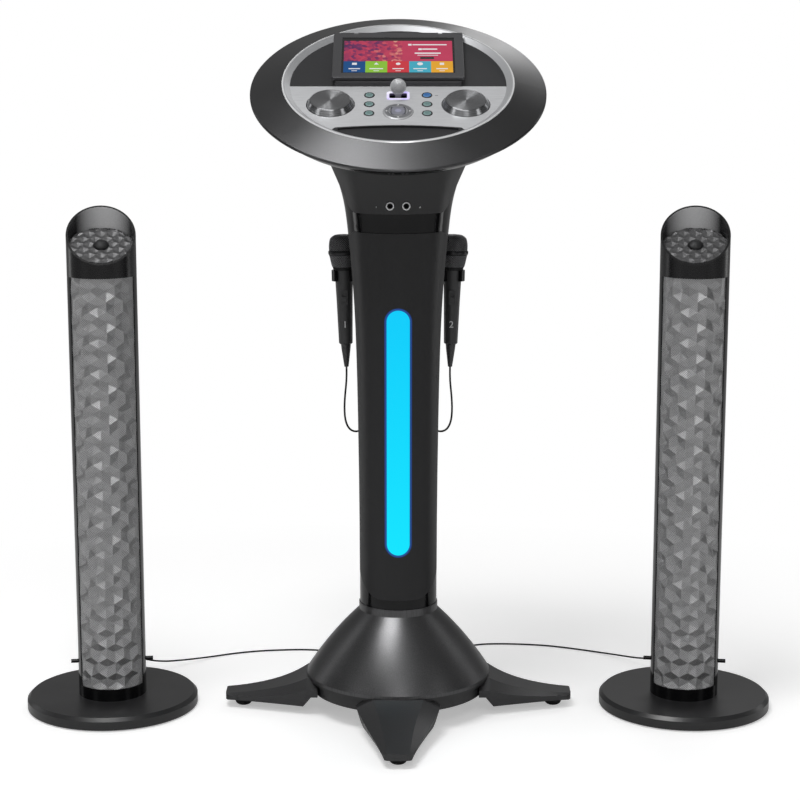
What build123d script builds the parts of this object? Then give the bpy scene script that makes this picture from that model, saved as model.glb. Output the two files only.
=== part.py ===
from build123d import *
import math
import os

# A floor-standing karaoke machine: a pedestal with a tilted round console, a flip-up screen
# over a top-loading disc tray, two corded microphones in side holders, and two speaker towers.
# Millimetres, +Z up, the front faces -Y, the origin is on the floor on the pedestal's axis.

# ---- clearances ----
SEAT = 0.1  # between fixed pieces that fit inside each other
GAP = 0.3  # between pieces that move past each other
RUN = 0.05  # radial clearance of a shaft in its bore

# ---- base ----
FOOT_R = 13.0  # rubber pad under each leg
FOOT_FLAT_R = 5.5
FOOT_DOME_H = 7.0
FOOT_FROM_TIP = 26.0  # pad centre, inwards from the leg's tip
FOOT_POCKET = 2.0  # how deep a pad sits in its leg
LEG_COUNT = 4
LEG_TIP_R = 260.0  # the legs at left and right
FRONT_LEG_TIP_R = 278.0  # the legs at front and rear
LEG_LOW_Z = 12.5
LEG_INNER_GAP = 10.0  # how far the leg's foot plate reaches in under the cone
LEG_UNDERCUT_R = 12.0
LEG_UNDERCUT_Z = 16.0
LEG_CORNER_R = 12.0
LEG_DRAFT = 0.86  # width at the bottom of a leg, over the width at its crease
# Along a leg, from the cone's edge (0) to the tip (1): half width and drop of the top face's
# edge, then half width and drop of the crease below it. Drops are from the hub's top.
LEG_OUTLINE = [
    (0.0, 36.4, 0.0, 60.6, 11.5),
    (0.15, 30.5, 9.2, 53.8, 18.0),
    (0.34, 25.0, 17.2, 45.4, 24.0),
    (0.62, 20.0, 24.6, 33.8, 29.2),
    (1.0, 16.0, 29.5, 21.6, 33.0),
]
LEG_SCREW_R = 2.0
LEG_SCREW_HEAD_R = 3.6
LEG_SCREW_SPREAD = 44.0
LEG_SCREW_Z = 38.0
LEG_SCREW_LENGTH = 24.0
HUB_R = 130.0
HUB_WALL = 10.0
HUB_LOW_Z = 30.0
HUB_TOP_Z = 52.0
HUB_PLATE = 4.0
HUB_RIM = 5.5  # the top plate stands this far out past the band
HUB_BOSS_R = 24.0
HUB_RIB_W = 6.0
CONE_OVERHANG = 1.5  # the cone stands this far out past the hub's top plate
CONE_LOW_R = HUB_R + HUB_RIM + CONE_OVERHANG
CONE_TOP_R = 58.6
CONE_TOP_Z = 163.0
CONE_LIP = 11.0
CONE_WALL = 4.0
CONE_RIM_H = 5.0  # upright band along the lower edge
CONE_BULGE = 5.0  # the flank swells past a straight cone
CONE_THROAT_R = 54.0

# ---- column, as radius and height up its outer face ----
COLUMN_R = 57.4
COLUMN_WALL = 3.0
COLUMN_OUTLINE = [
    (COLUMN_R, CONE_TOP_Z),
    (COLUMN_R + 0.2, 290.0),
    (COLUMN_R + 1.7, 430.0),
    (COLUMN_R + 4.1, 545.0),
    (COLUMN_R + 8.7, 640.0),
    (COLUMN_R + 16.2, 721.0),
    (COLUMN_R + 22.0, 762.0),
    (COLUMN_R + 30.0, 791.0),
    (COLUMN_R + 38.8, 814.0),
    (COLUMN_R + 48.6, 838.0),
    (COLUMN_R + 57.2, 872.0),
    (COLUMN_R + 63.0, 915.0),
    (COLUMN_R + 65.0, 960.0),
]
TUBE_R = 17.5
TUBE_WALL = 2.5
FRONT_SKIN = 1.6  # the matte front panel's outer face, out from the column
FRONT_HALF_ANGLE = 76.0
FRONT_LOW_Z = 178.0
FRONT_TOP_Z = 720.0
FRONT_TONGUE_H = 45.0
FRONT_TONGUE_FLAT = 52.0
FRONT_TOP_CHAMFER = 9.0
LIGHT_W = 34.0
LIGHT_LOW_Z = 246.5
LIGHT_TOP_Z = 609.8
LIGHT_DEPTH = 5.4  # the window's flat back, in from the column's lowest face
LED_BOARD_W = 20.0
LED_BOARD_T = 1.6
BIB_SKIN = 2.4
BIB_LOW_Z = 748.0
BIB_LOW_HALF_W = 64.0
BIB_CORNER = (71.5, 757.5)  # half width and height where the lower corner ends
BIB_SIDE = (101.0, 822.0)  # half width and height high on the slanting side
BIB_CORNER_R = 6.0
JACK_SPACING = 23.0
JACK_Z = 760.0
JACK_NUT_R = 5.75
JACK_NUT_T = 2.6
JACK_BODY_R = 4.5
JACK_BORE_R = 3.3
JACK_BORE_DEPTH = 30.0
JACK_SUNK = 1.4  # spot face that the nut sits on, in from the fascia
JACK_PAD_R = 8.0

# ---- console, in its own frame: X right, Y up the slope, Z out of the ring's plane ----
TILT = 28.63
HEAD_Z = 932.9
DECK_TOP = -5.5
DECK_T = 4.0
DECK_R = 158.0
RING_LAP = 2.8  # the trim ring's inner slope reaches in over the deck
RING_SLOPE = 7.8  # width of that slope
RING_FACE = 3.9  # width of the ring's flat top
RING_SEAT_R = DECK_R + GAP
RING_LOW_IN_R = DECK_R - RING_LAP
RING_TOP_IN_R = RING_LOW_IN_R + RING_SLOPE
RING_R = RING_TOP_IN_R + RING_FACE
DECK_SPLIT = -7.0  # straight joint between the dark rear plate and the silver front one
BRIM_W = 45.8
BRIM_IN_R = RING_R + GAP
BRIM_R = BRIM_IN_R + BRIM_W
BRIM_TOP = -1.2
BRIM_EDGE = -15.8
BRIM_LIP = 3.5
BRIM_WALL = 3.3
LEDGE_W = 8.0  # the brim's ledge under the edge of the deck
LEDGE_IN_R = DECK_R - LEDGE_W
LEDGE_T = 3.0
BOWL_RIM_INSET = 6.5  # the bowl's rim stands back under the brim
BOWL_RIM_R = BRIM_R - BOWL_RIM_INSET
BOWL_RIM_WALL = 3.2
BOWL_FLOOR_R = 146.0
BOWL_FLOOR = -52.0
BOWL_WALL = 3.0
BOWL_POST_R = 4.0
BOWL_POSTS = [(-60.0, -50.0), (60.0, -50.0), (-60.0, 40.0), (60.0, 40.0)]
BOARD_HALF_W = 70.0
CONTROL_BOARD_Y = (-108.0, -16.0)  # front and rear edge
MAIN_BOARD_Y = (-60.0, 50.0)
CABLE_HOLE_R = 10.0

# ---- controls on the deck ----
JOG_X = 95.7
JOG_Y = -57.2
JOG_HOLE_R = 34.6
JOG_BASE_R = 33.6
JOG_TOP_R = 28.2
JOG_H = 8.0
JOG_SHAFT_R = 3.0
ENCODER_R = 7.0
BUTTON_X = 40.9
BUTTON_ROWS = [-31.8, -56.6, -81.2]
BEZEL_R = 7.7
BEZEL_NECK_R = 6.8
CAP_R = 5.6
CAP_FLANGE_R = 6.3
CAP_RISE = 1.2
BUTTON_TRAVEL = 1.2
STEM_R = 1.5
SWITCH_R = 3.5
NAV_Y = -77.2
NAV_R = 21.1
NAV_RISE = 1.6
NAV_T = 4.6
OK_SIZE = 19.6
OK_CORNER_R = 5.0
OK_GAP = 0.65
OK_CORNER_ROOM = 1.5  # the ring's square hole has tighter corners than the button
OK_RISE = 2.2
LEVER_Y = -33.3
LEVER_FRAME_W = 32.5
LEVER_FRAME_H = 21.0
LEVER_FRAME_WALL = 2.6
LEVER_FRAME_RISE = 0.9
LEVER_BALL_R = 11.0
LEVER_BALL_UP = 15.0  # ball centre above the deck
LEVER_NECK_R = 4.4
LEVER_PIVOT = -14.0
LEVER_PIN_R = 1.5
LEVER_EAR_T = 2.0
CRADLE_ARC_Y = -112.7
CRADLE_CORNER = (88.2, -119.2)
CRADLE_BEVEL = (99.0, -134.0)
CRADLE_WALL = 2.0
CRADLE_DEPTH = 2.4
BOARD_TOP = -18.4
BOARD_T = 1.6

# ---- screen lid over the disc tray ----
LID_HALF_W = 95.0
LID_FRONT = -2.0
LID_REAR = 129.0
LID_LOW = 1.8
LID_TOP = 6.8
LID_BACK_T = 1.6
PANEL_HALF_W = 82.0
PANEL_FRONT = 10.3
PANEL_REAR = 113.4
PANEL_SUNK = 0.6
TRAY_HALF_W = 91.5
TRAY_FRONT = -6.8
TRAY_REAR = 129.0
TRAY_TOP = 1.0
TRAY_RING_GAP = 1.2
TRAY_R = RING_LOW_IN_R - TRAY_RING_GAP  # the tray's corners follow the trim ring
DISC_R = 60.0
DISC_ROOM = 1.0
WELL_DEPTH = 7.5
WELL_FLOOR_T = 2.5
WELL_Y = 59.0
HINGE_Y = 126.3
HINGE_Z = 4.3
HINGE_PIN_R = 1.4
HINGE_EAR_R = 2.2
HINGE_EAR_T = 5.0
HINGE_X = 62.0
HINGE_PIN_L = 5.0
HINGE_RELIEF = 8.0
SPINDLE_R = 7.4
SPINDLE_SHAFT_R = 1.5
MOTOR_R = 12.0
MOTOR_H = 7.0
PICKUP_END_GAP = 1.0  # the sled's slot ends this far inside the disc's edge
PICKUP_W = 16.0
PICKUP_L = 13.0
PICKUP_H = 7.0
SLOT_START = 14.0
RAIL_W = 3.0

# ---- microphones, in their own frame: Z along the mic, 0 at the holder ----
MIC_X = 80.5
MIC_Y = 50.0
MIC_Z = 648.0
MIC_LEAN = 1.3
MIC_STEP = 7.0  # underside of the head collar, which rests on the holder
MIC_HEAD_OUTLINE = [
    (15.2, 7.0),
    (17.6, 15.0),
    (20.2, 28.0),
    (21.5, 30.5),
    (21.5, 35.0),
    (20.6, 37.0),
    (20.4, 46.0),
    (18.6, 53.5),
    (12.0, 58.4),
]
MIC_BODY_TOP_R = 13.6
MIC_BODY_MID_R = 11.9
MIC_BODY_MID_Z = -40.0
MIC_BODY_LOW_R = 10.2
MIC_BODY_LOW_Z = -104.0
BOOT_LOW_Z = -138.5
BOOT_TOP_R = 7.5
BOOT_LOW_R = 3.2
HOLDER_IN_R = 14.3
HOLDER_OUT_R = 18.3
HOLDER_LOW_Z = -9.0
HOLDER_OPEN = 100.0  # degrees of the ring left open to the front
HOLDER_ARM_W = 12.0
SWITCH_PLATE_W = 10.0
SWITCH_PLATE_Z = (-44.0, -23.0)
SWITCH_PLATE_RISE = 0.9
SWITCH_W = 6.0
SWITCH_L = 7.0
SWITCH_TRAVEL = 5.0
SWITCH_RISE = 2.2

# ---- speaker towers, in their own frame: Z up, the grille faces -Y ----
TOWER_X = 432.0
TOWER_TOE_IN = 8.0
TOWER_BASE_R = 127.5
TOWER_BASE_TOP = 20.0
TOWER_BASE_CHAMFER = 5.0
TOWER_PAD_R = 11.0
TOWER_PAD_H = 2.0
TOWER_PAD_RING_R = 105.0
TOWER_R = 50.5
TOWER_WALL = 3.0
TOWER_RING_TOP = 38.0
GRILLE_TOP = 653.0
GRILLE_HALF_ANGLE = 64.0
GRILLE_SUNK = 1.2
GRILLE_T = 1.5
CAP_LIP_Z = 673.0
CAP_REAR_Z = 750.0
TOP_GRILLE_Z = 695.0
TOP_GRILLE_TILT = 26.0
TOP_GRILLE_T = 2.0
DOME_R = 10.0
PEG_R = 3.0
PEG_L = 10.0
PEG_Z = 66.0
BAFFLE_T = 6.0
BAFFLE_Y = -8.0
DRIVER_R = 36.0
DRIVER_HOLE_R = 32.0
DRIVER_COUNT = 4
DRIVER_PITCH = 135.0
DRIVER_FIRST_Z = 130.0

# ---- sockets, plugs and cords ----
SOCKET_R = 4.15
SOCKET_L = 9.0
SOCKET_BORE_R = 1.7
PLUG_R = 5.0
PLUG_L = 27.0
PANEL_PLATE_W = 60.0
PANEL_PLATE_H = 15.0
PANEL_PLATE_T = 3.0
PANEL_FLAT_R = 125.5
PANEL_Z = 40.0
INLET_W = 19.0
INLET_H = 9.0
INLET_DEPTH = 1.8
TOWER_SOCKET_Z = 46.0
SPEAKER_CORD_D = 2.8
MIC_CORD_D = 3.0
COIL_MEAN_R = 18.0
COIL_BUNDLE_R = 8.2
COIL_X = 30.0
COIL_Y = 73.0
COIL_Z = 445.0
HOOK_R = 4.5
HOOK_END_R = 7.0
HOOK_REACH = 87.0
HOOK_PLATE_T = 3.0
HOOK_PLATE_H = 30.0
MIC_PLUG_R = 6.5
MIC_PLUG_L = 32.0
MIC_PLUG_TIP_R = 3.15
MIC_PLUG_TIP_L = 30.0
TAIL_L = 34.0
TAIL_X = 9.0  # the tail leaves the coil this far in from the coil's middle
TAIL_SUNK = 2.0  # how far a cord's end reaches into its coil

BOTTOM = (Align.CENTER, Align.CENTER, Align.MIN)
HEAD = Plane(
    origin=(0, 0, HEAD_Z),
    x_dir=(1, 0, 0),
    z_dir=(0, -math.sin(math.radians(TILT)), math.cos(math.radians(TILT))),
)
DECK_LOW = DECK_TOP - DECK_T


# ---- helpers ----
def revolved(points):
    """A closed outline of radius and height pairs, turned round Z."""
    line = Polyline(*[(r, 0, z) for r, z in points], close=True)
    return revolve(make_face(line.edges()), Axis.Z)


def disc(radius, low, high):
    return Pos(0, 0, low) * Cylinder(radius, high - low, align=BOTTOM)


def tube(outer, inner, low, high):
    return disc(outer, low, high) - disc(inner, low - 1, high + 1)


def block(x0, x1, y0, y1, z0, z1):
    middle = Pos((x0 + x1) / 2, (y0 + y1) / 2, (z0 + z1) / 2)
    return middle * Box(x1 - x0, y1 - y0, z1 - z0)


def on_head(shape):
    """From the console's frame to the machine's."""
    return HEAD.location * shape


def at_mic(side, shape):
    """From a microphone's frame to the machine's; side is -1 for left, 1 for right."""
    return Pos(side * MIC_X, MIC_Y, MIC_Z) * Rot(0, side * MIC_LEAN, 0) * shape


def at_tower(side, shape):
    return Pos(side * TOWER_X, 0, 0) * Rot(0, 0, -side * TOWER_TOE_IN) * shape


def front_prism(outline, depth):
    """An outline in X and Z, run from the axis plane out to the front."""
    return extrude(Plane.XZ * outline, depth)


def column_radius(z):
    """Radius of the column's outer face at a height."""
    for (r0, z0), (r1, z1) in zip(COLUMN_OUTLINE, COLUMN_OUTLINE[1:]):
        if z <= z1:
            return r0 + (z - z0) * (r1 - r0) / (z1 - z0)
    return COLUMN_OUTLINE[-1][0]


def column_edge(offset):
    return Spline(*[(r + offset, 0, z) for r, z in COLUMN_OUTLINE], tangents=((0, 0, 1), (0, 0, 1)))


def column_skin(inner, outer, arc=360.0, middle=-90.0):
    """A wall that follows the column's outer face between two offsets from it."""
    near = column_edge(inner)
    far = column_edge(outer)
    ends = [Line(near @ 1, far @ 1), Line(far @ 0, near @ 0)]
    skin = revolve(make_face([near, far, *ends]), Axis.Z, arc)
    return Rot(0, 0, middle - arc / 2) * skin


def column_volume(offset):
    """Everything inside the column's outer face, moved out by offset."""
    edge = column_edge(offset)
    low = (0, 0, (edge @ 0).Z)
    high = (0, 0, (edge @ 1).Z)
    sides = [edge, Line(edge @ 1, high), Line(high, low), Line(low, edge @ 0)]
    return revolve(make_face(sides), Axis.Z)


def above_bowl_floor():
    return on_head(Pos(0, 0, BOWL_FLOOR) * Box(900, 900, 600, align=BOTTOM))


# ---- base ----
def leg_section(x, half_top, top_z, half_side, side_z):
    """Cross-section of a leg: flat below, drafted sides, a bevel and a flat top."""
    corners = [
        (-half_side * LEG_DRAFT, LEG_LOW_Z),
        (half_side * LEG_DRAFT, LEG_LOW_Z),
        (half_side, side_z),
        (half_top, top_z),
        (-half_top, top_z),
        (-half_side, side_z),
    ]
    return make_face(Polyline(*[(x, y, z) for y, z in corners], close=True).edges())


def make_leg(tip_r):
    """One leg along +X: it narrows to the tip, and its top is hollow-curved and bevelled."""
    start_x = CONE_LOW_R + 2 * SEAT
    sections = []
    for share, half_top, top_drop, half_side, side_drop in LEG_OUTLINE:
        x = start_x + share * (tip_r - start_x)
        sections.append(leg_section(x, half_top, HUB_TOP_Z - top_drop, half_side, HUB_TOP_Z - side_drop))
    root_x = HUB_R - LEG_INNER_GAP
    inner = leg_section(root_x, *[HUB_TOP_Z - v if i % 2 else v for i, v in enumerate(LEG_OUTLINE[0][1:])])
    leg = loft(sections) + loft([inner, sections[0]], ruled=True)
    undercut = Polyline(
        (root_x - 1, LEG_LOW_Z - 1),
        (HUB_R + LEG_UNDERCUT_R, LEG_LOW_Z - 1),
        (HUB_R + LEG_UNDERCUT_R, LEG_LOW_Z),
        (HUB_R, LEG_LOW_Z + LEG_UNDERCUT_Z),
        (root_x - 1, LEG_LOW_Z + LEG_UNDERCUT_Z),
        close=True,
    )
    leg = leg - extrude(Plane.XZ * make_face(undercut.edges()), tip_r, both=True)
    tip_half = LEG_OUTLINE[-1][3]
    length = tip_r - root_x
    plan = Pos(tip_r - length / 2, 0) * RectangleRounded(length, 2 * tip_half + 3, LEG_CORNER_R)
    plan = plan + Pos(tip_r - LEG_CORNER_R - 8 - length / 2, 0) * Rectangle(length, tip_r)
    leg = leg & extrude(plan, HUB_TOP_Z + 2)
    leg = leg - disc(HUB_R + SEAT, -1, HUB_TOP_Z + 2)
    leg = leg - disc(HUB_R + HUB_RIM + SEAT, HUB_TOP_Z - HUB_PLATE - SEAT, HUB_TOP_Z + 2)
    leg = leg - Pos(tip_r - FOOT_FROM_TIP, 0, 0) * disc(FOOT_R + SEAT, -1, foot_top())
    for screw in leg_screws():
        leg = leg - screw_hole(screw)
    return leg


def foot_top():
    """Height of the flat seat that a rubber pad is pressed against."""
    return LEG_LOW_Z + FOOT_POCKET


def make_pad():
    """A domed rubber pad on Z."""
    side = math.sqrt(0.5)
    bulge_r = FOOT_FLAT_R + side * (FOOT_R - FOOT_FLAT_R)
    dome = ThreePointArc((FOOT_FLAT_R, 0, 0), (bulge_r, 0, (1 - side) * FOOT_DOME_H), (FOOT_R, 0, FOOT_DOME_H))
    rest = Polyline((FOOT_R, 0, FOOT_DOME_H), (FOOT_R, 0, foot_top()), (0, 0, foot_top()), (0, 0, 0), (FOOT_FLAT_R, 0, 0))
    return revolve(make_face([dome, *rest.edges()]), Axis.Z)


def leg_screws():
    """Places of the two screws that hold a leg along +X to the hub's band."""
    start_x = HUB_R - HUB_WALL
    return [Pos(start_x, y, LEG_SCREW_Z) * Rot(0, 90, 0) for y in (-LEG_SCREW_SPREAD / 2, LEG_SCREW_SPREAD / 2)]


def screw_hole(place):
    return place * disc(LEG_SCREW_R + SEAT, -3, LEG_SCREW_LENGTH + 0.5)


def make_screw(place):
    flat_x = math.sqrt((HUB_R - HUB_WALL) ** 2 - (LEG_SCREW_SPREAD / 2) ** 2) - (HUB_R - HUB_WALL)
    head_low = flat_x - LEG_SCREW_HEAD_R * 0.35
    head = disc(LEG_SCREW_HEAD_R, head_low - 2.4, head_low)
    shank = disc(LEG_SCREW_R, head_low - 1, LEG_SCREW_LENGTH)
    return place * (head + shank)


def each_leg(shape):
    return [Rot(0, 0, i * 360 / LEG_COUNT) * shape for i in range(LEG_COUNT)]


def leg_tips():
    """Reach of each leg, anticlockwise from the right-hand one."""
    return [FRONT_LEG_TIP_R if i % 2 else LEG_TIP_R for i in range(LEG_COUNT)]


def rear_places():
    """The hub's two flat socket plates, behind the legs at left and right."""
    return {"left": 135.0, "right": 45.0}


def plate_location(angle):
    """Local Z points out of the hub, local X runs along the plate."""
    a = math.radians(angle)
    out = Vector(math.cos(a), math.sin(a), 0)
    along = Vector(-math.sin(a), math.cos(a), 0)
    origin = (out.X * PANEL_FLAT_R, out.Y * PANEL_FLAT_R, PANEL_Z)
    return Plane(origin=origin, x_dir=along, z_dir=out).location


def make_hub():
    plate = disc(HUB_R + HUB_RIM, HUB_TOP_Z - HUB_PLATE, HUB_TOP_Z)
    band = tube(HUB_R, HUB_R - HUB_WALL, HUB_LOW_Z, HUB_TOP_Z - HUB_PLATE)
    boss = disc(HUB_BOSS_R, HUB_LOW_Z, HUB_TOP_Z)
    hub = plate + band + boss
    for i in range(LEG_COUNT):
        rib = block(HUB_BOSS_R - 2, HUB_R - HUB_WALL + 2, -HUB_RIB_W / 2, HUB_RIB_W / 2, HUB_LOW_Z + 4, HUB_TOP_Z)
        hub = hub + Rot(0, 0, 45 + i * 90) * rib
    hub = hub - disc(TUBE_R + SEAT, HUB_LOW_Z + 6, HUB_TOP_Z + 1)
    for screw in leg_screws():
        for hole in each_leg(screw_hole(screw)):
            hub = hub - hole
    for angle in rear_places().values():
        seat = Box(PANEL_PLATE_W + 2 * SEAT, PANEL_PLATE_H + 2 * SEAT, 20, align=BOTTOM)
        hub = hub - plate_location(angle) * seat
    return hub


def cone_flank(low_r, high_r, high_z):
    """The swelling line of the cone, from the top of its rim to its collar."""
    low_z = HUB_TOP_Z + CONE_RIM_H
    middle = ((low_r + high_r) / 2 + CONE_BULGE, 0, (low_z + high_z) / 2)
    return ThreePointArc((low_r, 0, low_z), middle, (high_r, 0, high_z))


def make_cone():
    outside = cone_flank(CONE_LOW_R, CONE_TOP_R, CONE_TOP_Z - CONE_LIP)
    inside = cone_flank(CONE_LOW_R - CONE_WALL, CONE_TOP_R - CONE_WALL, CONE_TOP_Z - CONE_LIP - 1.5)
    lower = Polyline(outside @ 0, (CONE_LOW_R, 0, HUB_TOP_Z), (CONE_LOW_R - CONE_WALL, 0, HUB_TOP_Z), inside @ 0)
    upper = Polyline(
        inside @ 1,
        (CONE_THROAT_R, 0, CONE_TOP_Z - CONE_LIP - 1.5),
        (CONE_THROAT_R, 0, CONE_TOP_Z),
        (CONE_TOP_R, 0, CONE_TOP_Z),
        outside @ 1,
    )
    return revolve(make_face([outside, *lower.edges(), inside, *upper.edges()]), Axis.Z)


def make_feet():
    feet = [
        Rot(0, 0, i * 360 / LEG_COUNT) * Pos(tip_r - FOOT_FROM_TIP, 0, 0) * make_pad()
        for i, tip_r in enumerate(leg_tips())
    ]
    for side in (-1, 1):
        for i in range(3):
            spot = Rot(0, 0, 90 + i * 120) * Pos(TOWER_PAD_RING_R, 0, 0)
            feet.append(at_tower(side, spot * disc(TOWER_PAD_R, 0, TOWER_PAD_H)))
    return feet


# ---- column ----
def front_outline():
    """Front view of the matte panel: a round-cornered tongue below, bevelled corners above."""
    reach = math.sin(math.radians(FRONT_HALF_ANGLE))
    half_top = (column_radius(FRONT_TOP_Z) + FRONT_SKIN) * reach
    wide = half_top + 20
    shoulder = FRONT_LOW_Z + FRONT_TONGUE_H
    edge_x = (column_radius(shoulder) + FRONT_SKIN) * reach + 0.5
    flat = FRONT_TONGUE_FLAT / 2
    right = EllipticalCenterArc((flat, shoulder), edge_x - flat, FRONT_TONGUE_H, 270, arc_size=90)
    left = EllipticalCenterArc((-flat, shoulder), edge_x - flat, FRONT_TONGUE_H, 180, arc_size=90)
    rim = Polyline(
        (edge_x, shoulder),
        (wide, shoulder),
        (wide, FRONT_TOP_Z - FRONT_TOP_CHAMFER - wide + half_top),
        (half_top - FRONT_TOP_CHAMFER, FRONT_TOP_Z),
        (-half_top + FRONT_TOP_CHAMFER, FRONT_TOP_Z),
        (-wide, FRONT_TOP_Z - FRONT_TOP_CHAMFER - wide + half_top),
        (-wide, shoulder),
        (-edge_x, shoulder),
    )
    base = Line((-flat, FRONT_LOW_Z), (flat, FRONT_LOW_Z))
    return make_face([base, right, *rim.edges(), left])


def light_slot(clearance):
    height = LIGHT_TOP_Z - LIGHT_LOW_Z + 2 * clearance
    middle = (LIGHT_TOP_Z + LIGHT_LOW_Z) / 2
    return Pos(0, middle) * SlotOverall(height, LIGHT_W + 2 * clearance, rotation=90)


def jack_place(side):
    face_y = column_radius(JACK_Z) + BIB_SKIN - JACK_SUNK
    return Plane(origin=(side * JACK_SPACING / 2, -face_y, JACK_Z), x_dir=(1, 0, 0), z_dir=(0, -1, 0)).location


def make_column_shell():
    shell = column_skin(-COLUMN_WALL, 0)
    shell = shell - above_bowl_floor()
    shell = shell - front_prism(light_slot(SEAT), 2 * COLUMN_R)
    for side in (-1, 1):
        shell = shell - jack_place(side) * disc(JACK_PAD_R + 2 * SEAT, -20, 10)
    return shell


def make_front_panel():
    skin = column_skin(SEAT, FRONT_SKIN, 2 * FRONT_HALF_ANGLE)
    panel = skin & front_prism(front_outline(), 3 * COLUMN_R)
    return panel - front_prism(light_slot(SEAT), 3 * COLUMN_R)


def light_back_y():
    return LIGHT_DEPTH - COLUMN_R


def make_light_window():
    bar = front_prism(light_slot(0), 3 * COLUMN_R)
    bar = bar & column_volume(FRONT_SKIN - 0.2)
    return bar - block(-LIGHT_W, LIGHT_W, light_back_y(), 1, LIGHT_LOW_Z - 5, LIGHT_TOP_Z + 5)


def make_bib():
    """The matte fascia on the neck that carries the microphone jacks."""
    right = [(BIB_LOW_HALF_W, BIB_LOW_Z), BIB_CORNER, BIB_SIDE, (BIB_SIDE[0], BIB_SIDE[1] + 60)]
    left = [(-x, z) for x, z in reversed(right)]
    outline = make_face(Polyline(*right, *left, close=True).edges())
    low_corners = [v for v in outline.vertices() if v.Y < BIB_CORNER[1] + 1]
    outline = fillet(low_corners, BIB_CORNER_R)
    bib = column_skin(SEAT, BIB_SKIN, 176) & front_prism(outline, 3 * COLUMN_R)
    bib = bib - above_bowl_floor()
    for side in (-1, 1):
        pad = jack_place(side) * disc(JACK_PAD_R, -8, 0)
        bib = bib + (pad & column_volume(BIB_SKIN))
        bib = bib - jack_place(side) * disc(JACK_NUT_R + 0.6, 0, 10)
        bib = bib - jack_place(side) * disc(JACK_BODY_R + SEAT, -20, 1)
    return bib


def make_jack():
    low = -JACK_BORE_DEPTH - 2
    return revolved(
        [
            (JACK_BORE_R, JACK_NUT_T),
            (JACK_NUT_R - 0.6, JACK_NUT_T),
            (JACK_NUT_R, JACK_NUT_T - 0.6),
            (JACK_NUT_R, 0),
            (JACK_BODY_R, 0),
            (JACK_BODY_R, low),
            (0, low),
            (0, JACK_NUT_T - JACK_BORE_DEPTH),
            (JACK_BORE_R, JACK_NUT_T - JACK_BORE_DEPTH),
        ]
    )


def make_holder(side):
    """An open ring that the microphone's collar rests on, with an arm to the column."""
    ring = tube(HOLDER_OUT_R, HOLDER_IN_R, HOLDER_LOW_Z, MIC_STEP - GAP)
    half = math.radians(HOLDER_OPEN / 2)
    reach = 2 * HOLDER_OUT_R
    mouth = Polyline((0, 0), (reach * math.sin(half), -reach), (-reach * math.sin(half), -reach), close=True)
    ring = ring - extrude(make_face(mouth.edges()), 60, both=True)
    ring = at_mic(side, ring)
    angle = math.degrees(math.atan2(-MIC_Y, -side * MIC_X))
    middle_z = (HOLDER_LOW_Z + MIC_STEP) / 2
    arm = block(HOLDER_IN_R + 2, MIC_X, -HOLDER_ARM_W / 2, HOLDER_ARM_W / 2, middle_z - 5, middle_z + 5)
    arm = Pos(side * MIC_X, MIC_Y, MIC_Z) * Rot(0, 0, angle) * arm
    arm = arm - at_mic(side, disc(HOLDER_IN_R + 1.5, -60, 60))
    return (ring + arm) - column_volume(SEAT)


# ---- console ----
def make_bowl():
    rim_in = BOWL_RIM_R - BOWL_RIM_WALL
    rim_z = BRIM_EDGE - BRIM_LIP
    floor_in = BOWL_FLOOR + BOWL_WALL
    bulge_r = BOWL_FLOOR_R + 0.72 * (BOWL_RIM_R - BOWL_FLOOR_R)
    bulge_z = BOWL_FLOOR + 0.4 * (rim_z - BOWL_FLOOR)
    outside = ThreePointArc((BOWL_RIM_R, 0, rim_z), (bulge_r, 0, bulge_z), (BOWL_FLOOR_R, 0, BOWL_FLOOR))
    inside = ThreePointArc(
        (BOWL_FLOOR_R - 1, 0, floor_in),
        (bulge_r - 2.4, 0, bulge_z + 2.2),
        (rim_in, 0, rim_z),
    )
    low = Polyline((BOWL_FLOOR_R, 0, BOWL_FLOOR), (0, 0, BOWL_FLOOR), (0, 0, floor_in), (BOWL_FLOOR_R - 1, 0, floor_in))
    rim = Line((rim_in, 0, rim_z), (BOWL_RIM_R, 0, rim_z))
    bowl = revolve(make_face([outside, *low.edges(), inside, rim]), Axis.Z)
    for x, y in BOWL_POSTS:
        bowl = bowl + Pos(x, y, 0) * disc(BOWL_POST_R, BOWL_FLOOR + 1, main_board_low())
    tube_y = BOWL_FLOOR * math.tan(math.radians(TILT))
    bowl = bowl - Pos(0, tube_y, 0) * disc(CABLE_HOLE_R, BOWL_FLOOR - 5, floor_in + 5)
    return on_head(bowl)


def main_board_low():
    return BOWL_FLOOR + BOWL_WALL + 6


def brim_height(radius):
    share = (radius - BRIM_IN_R) / (BRIM_R - BRIM_IN_R)
    return BRIM_TOP + share * (BRIM_EDGE - BRIM_TOP)


def make_brim():
    low = BRIM_EDGE - BRIM_LIP
    flat_in = BOWL_RIM_R - BOWL_RIM_WALL - 0.3
    wall_out = BRIM_IN_R + BRIM_WALL
    brim = revolved(
        [
            (BRIM_IN_R, BRIM_TOP),
            (BRIM_R - 1.2, brim_height(BRIM_R - 1.2)),
            (BRIM_R, BRIM_EDGE - 0.9),
            (BRIM_R, low + 0.6),
            (BRIM_R - 0.6, low),
            (flat_in, low),
            (flat_in, brim_height(flat_in) - BRIM_WALL),
            (wall_out, brim_height(wall_out) - BRIM_WALL),
            (wall_out, DECK_LOW - LEDGE_T),
            (LEDGE_IN_R, DECK_LOW - LEDGE_T),
            (LEDGE_IN_R, DECK_LOW),
            (BRIM_IN_R, DECK_LOW),
        ]
    )
    return on_head(brim)


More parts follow.
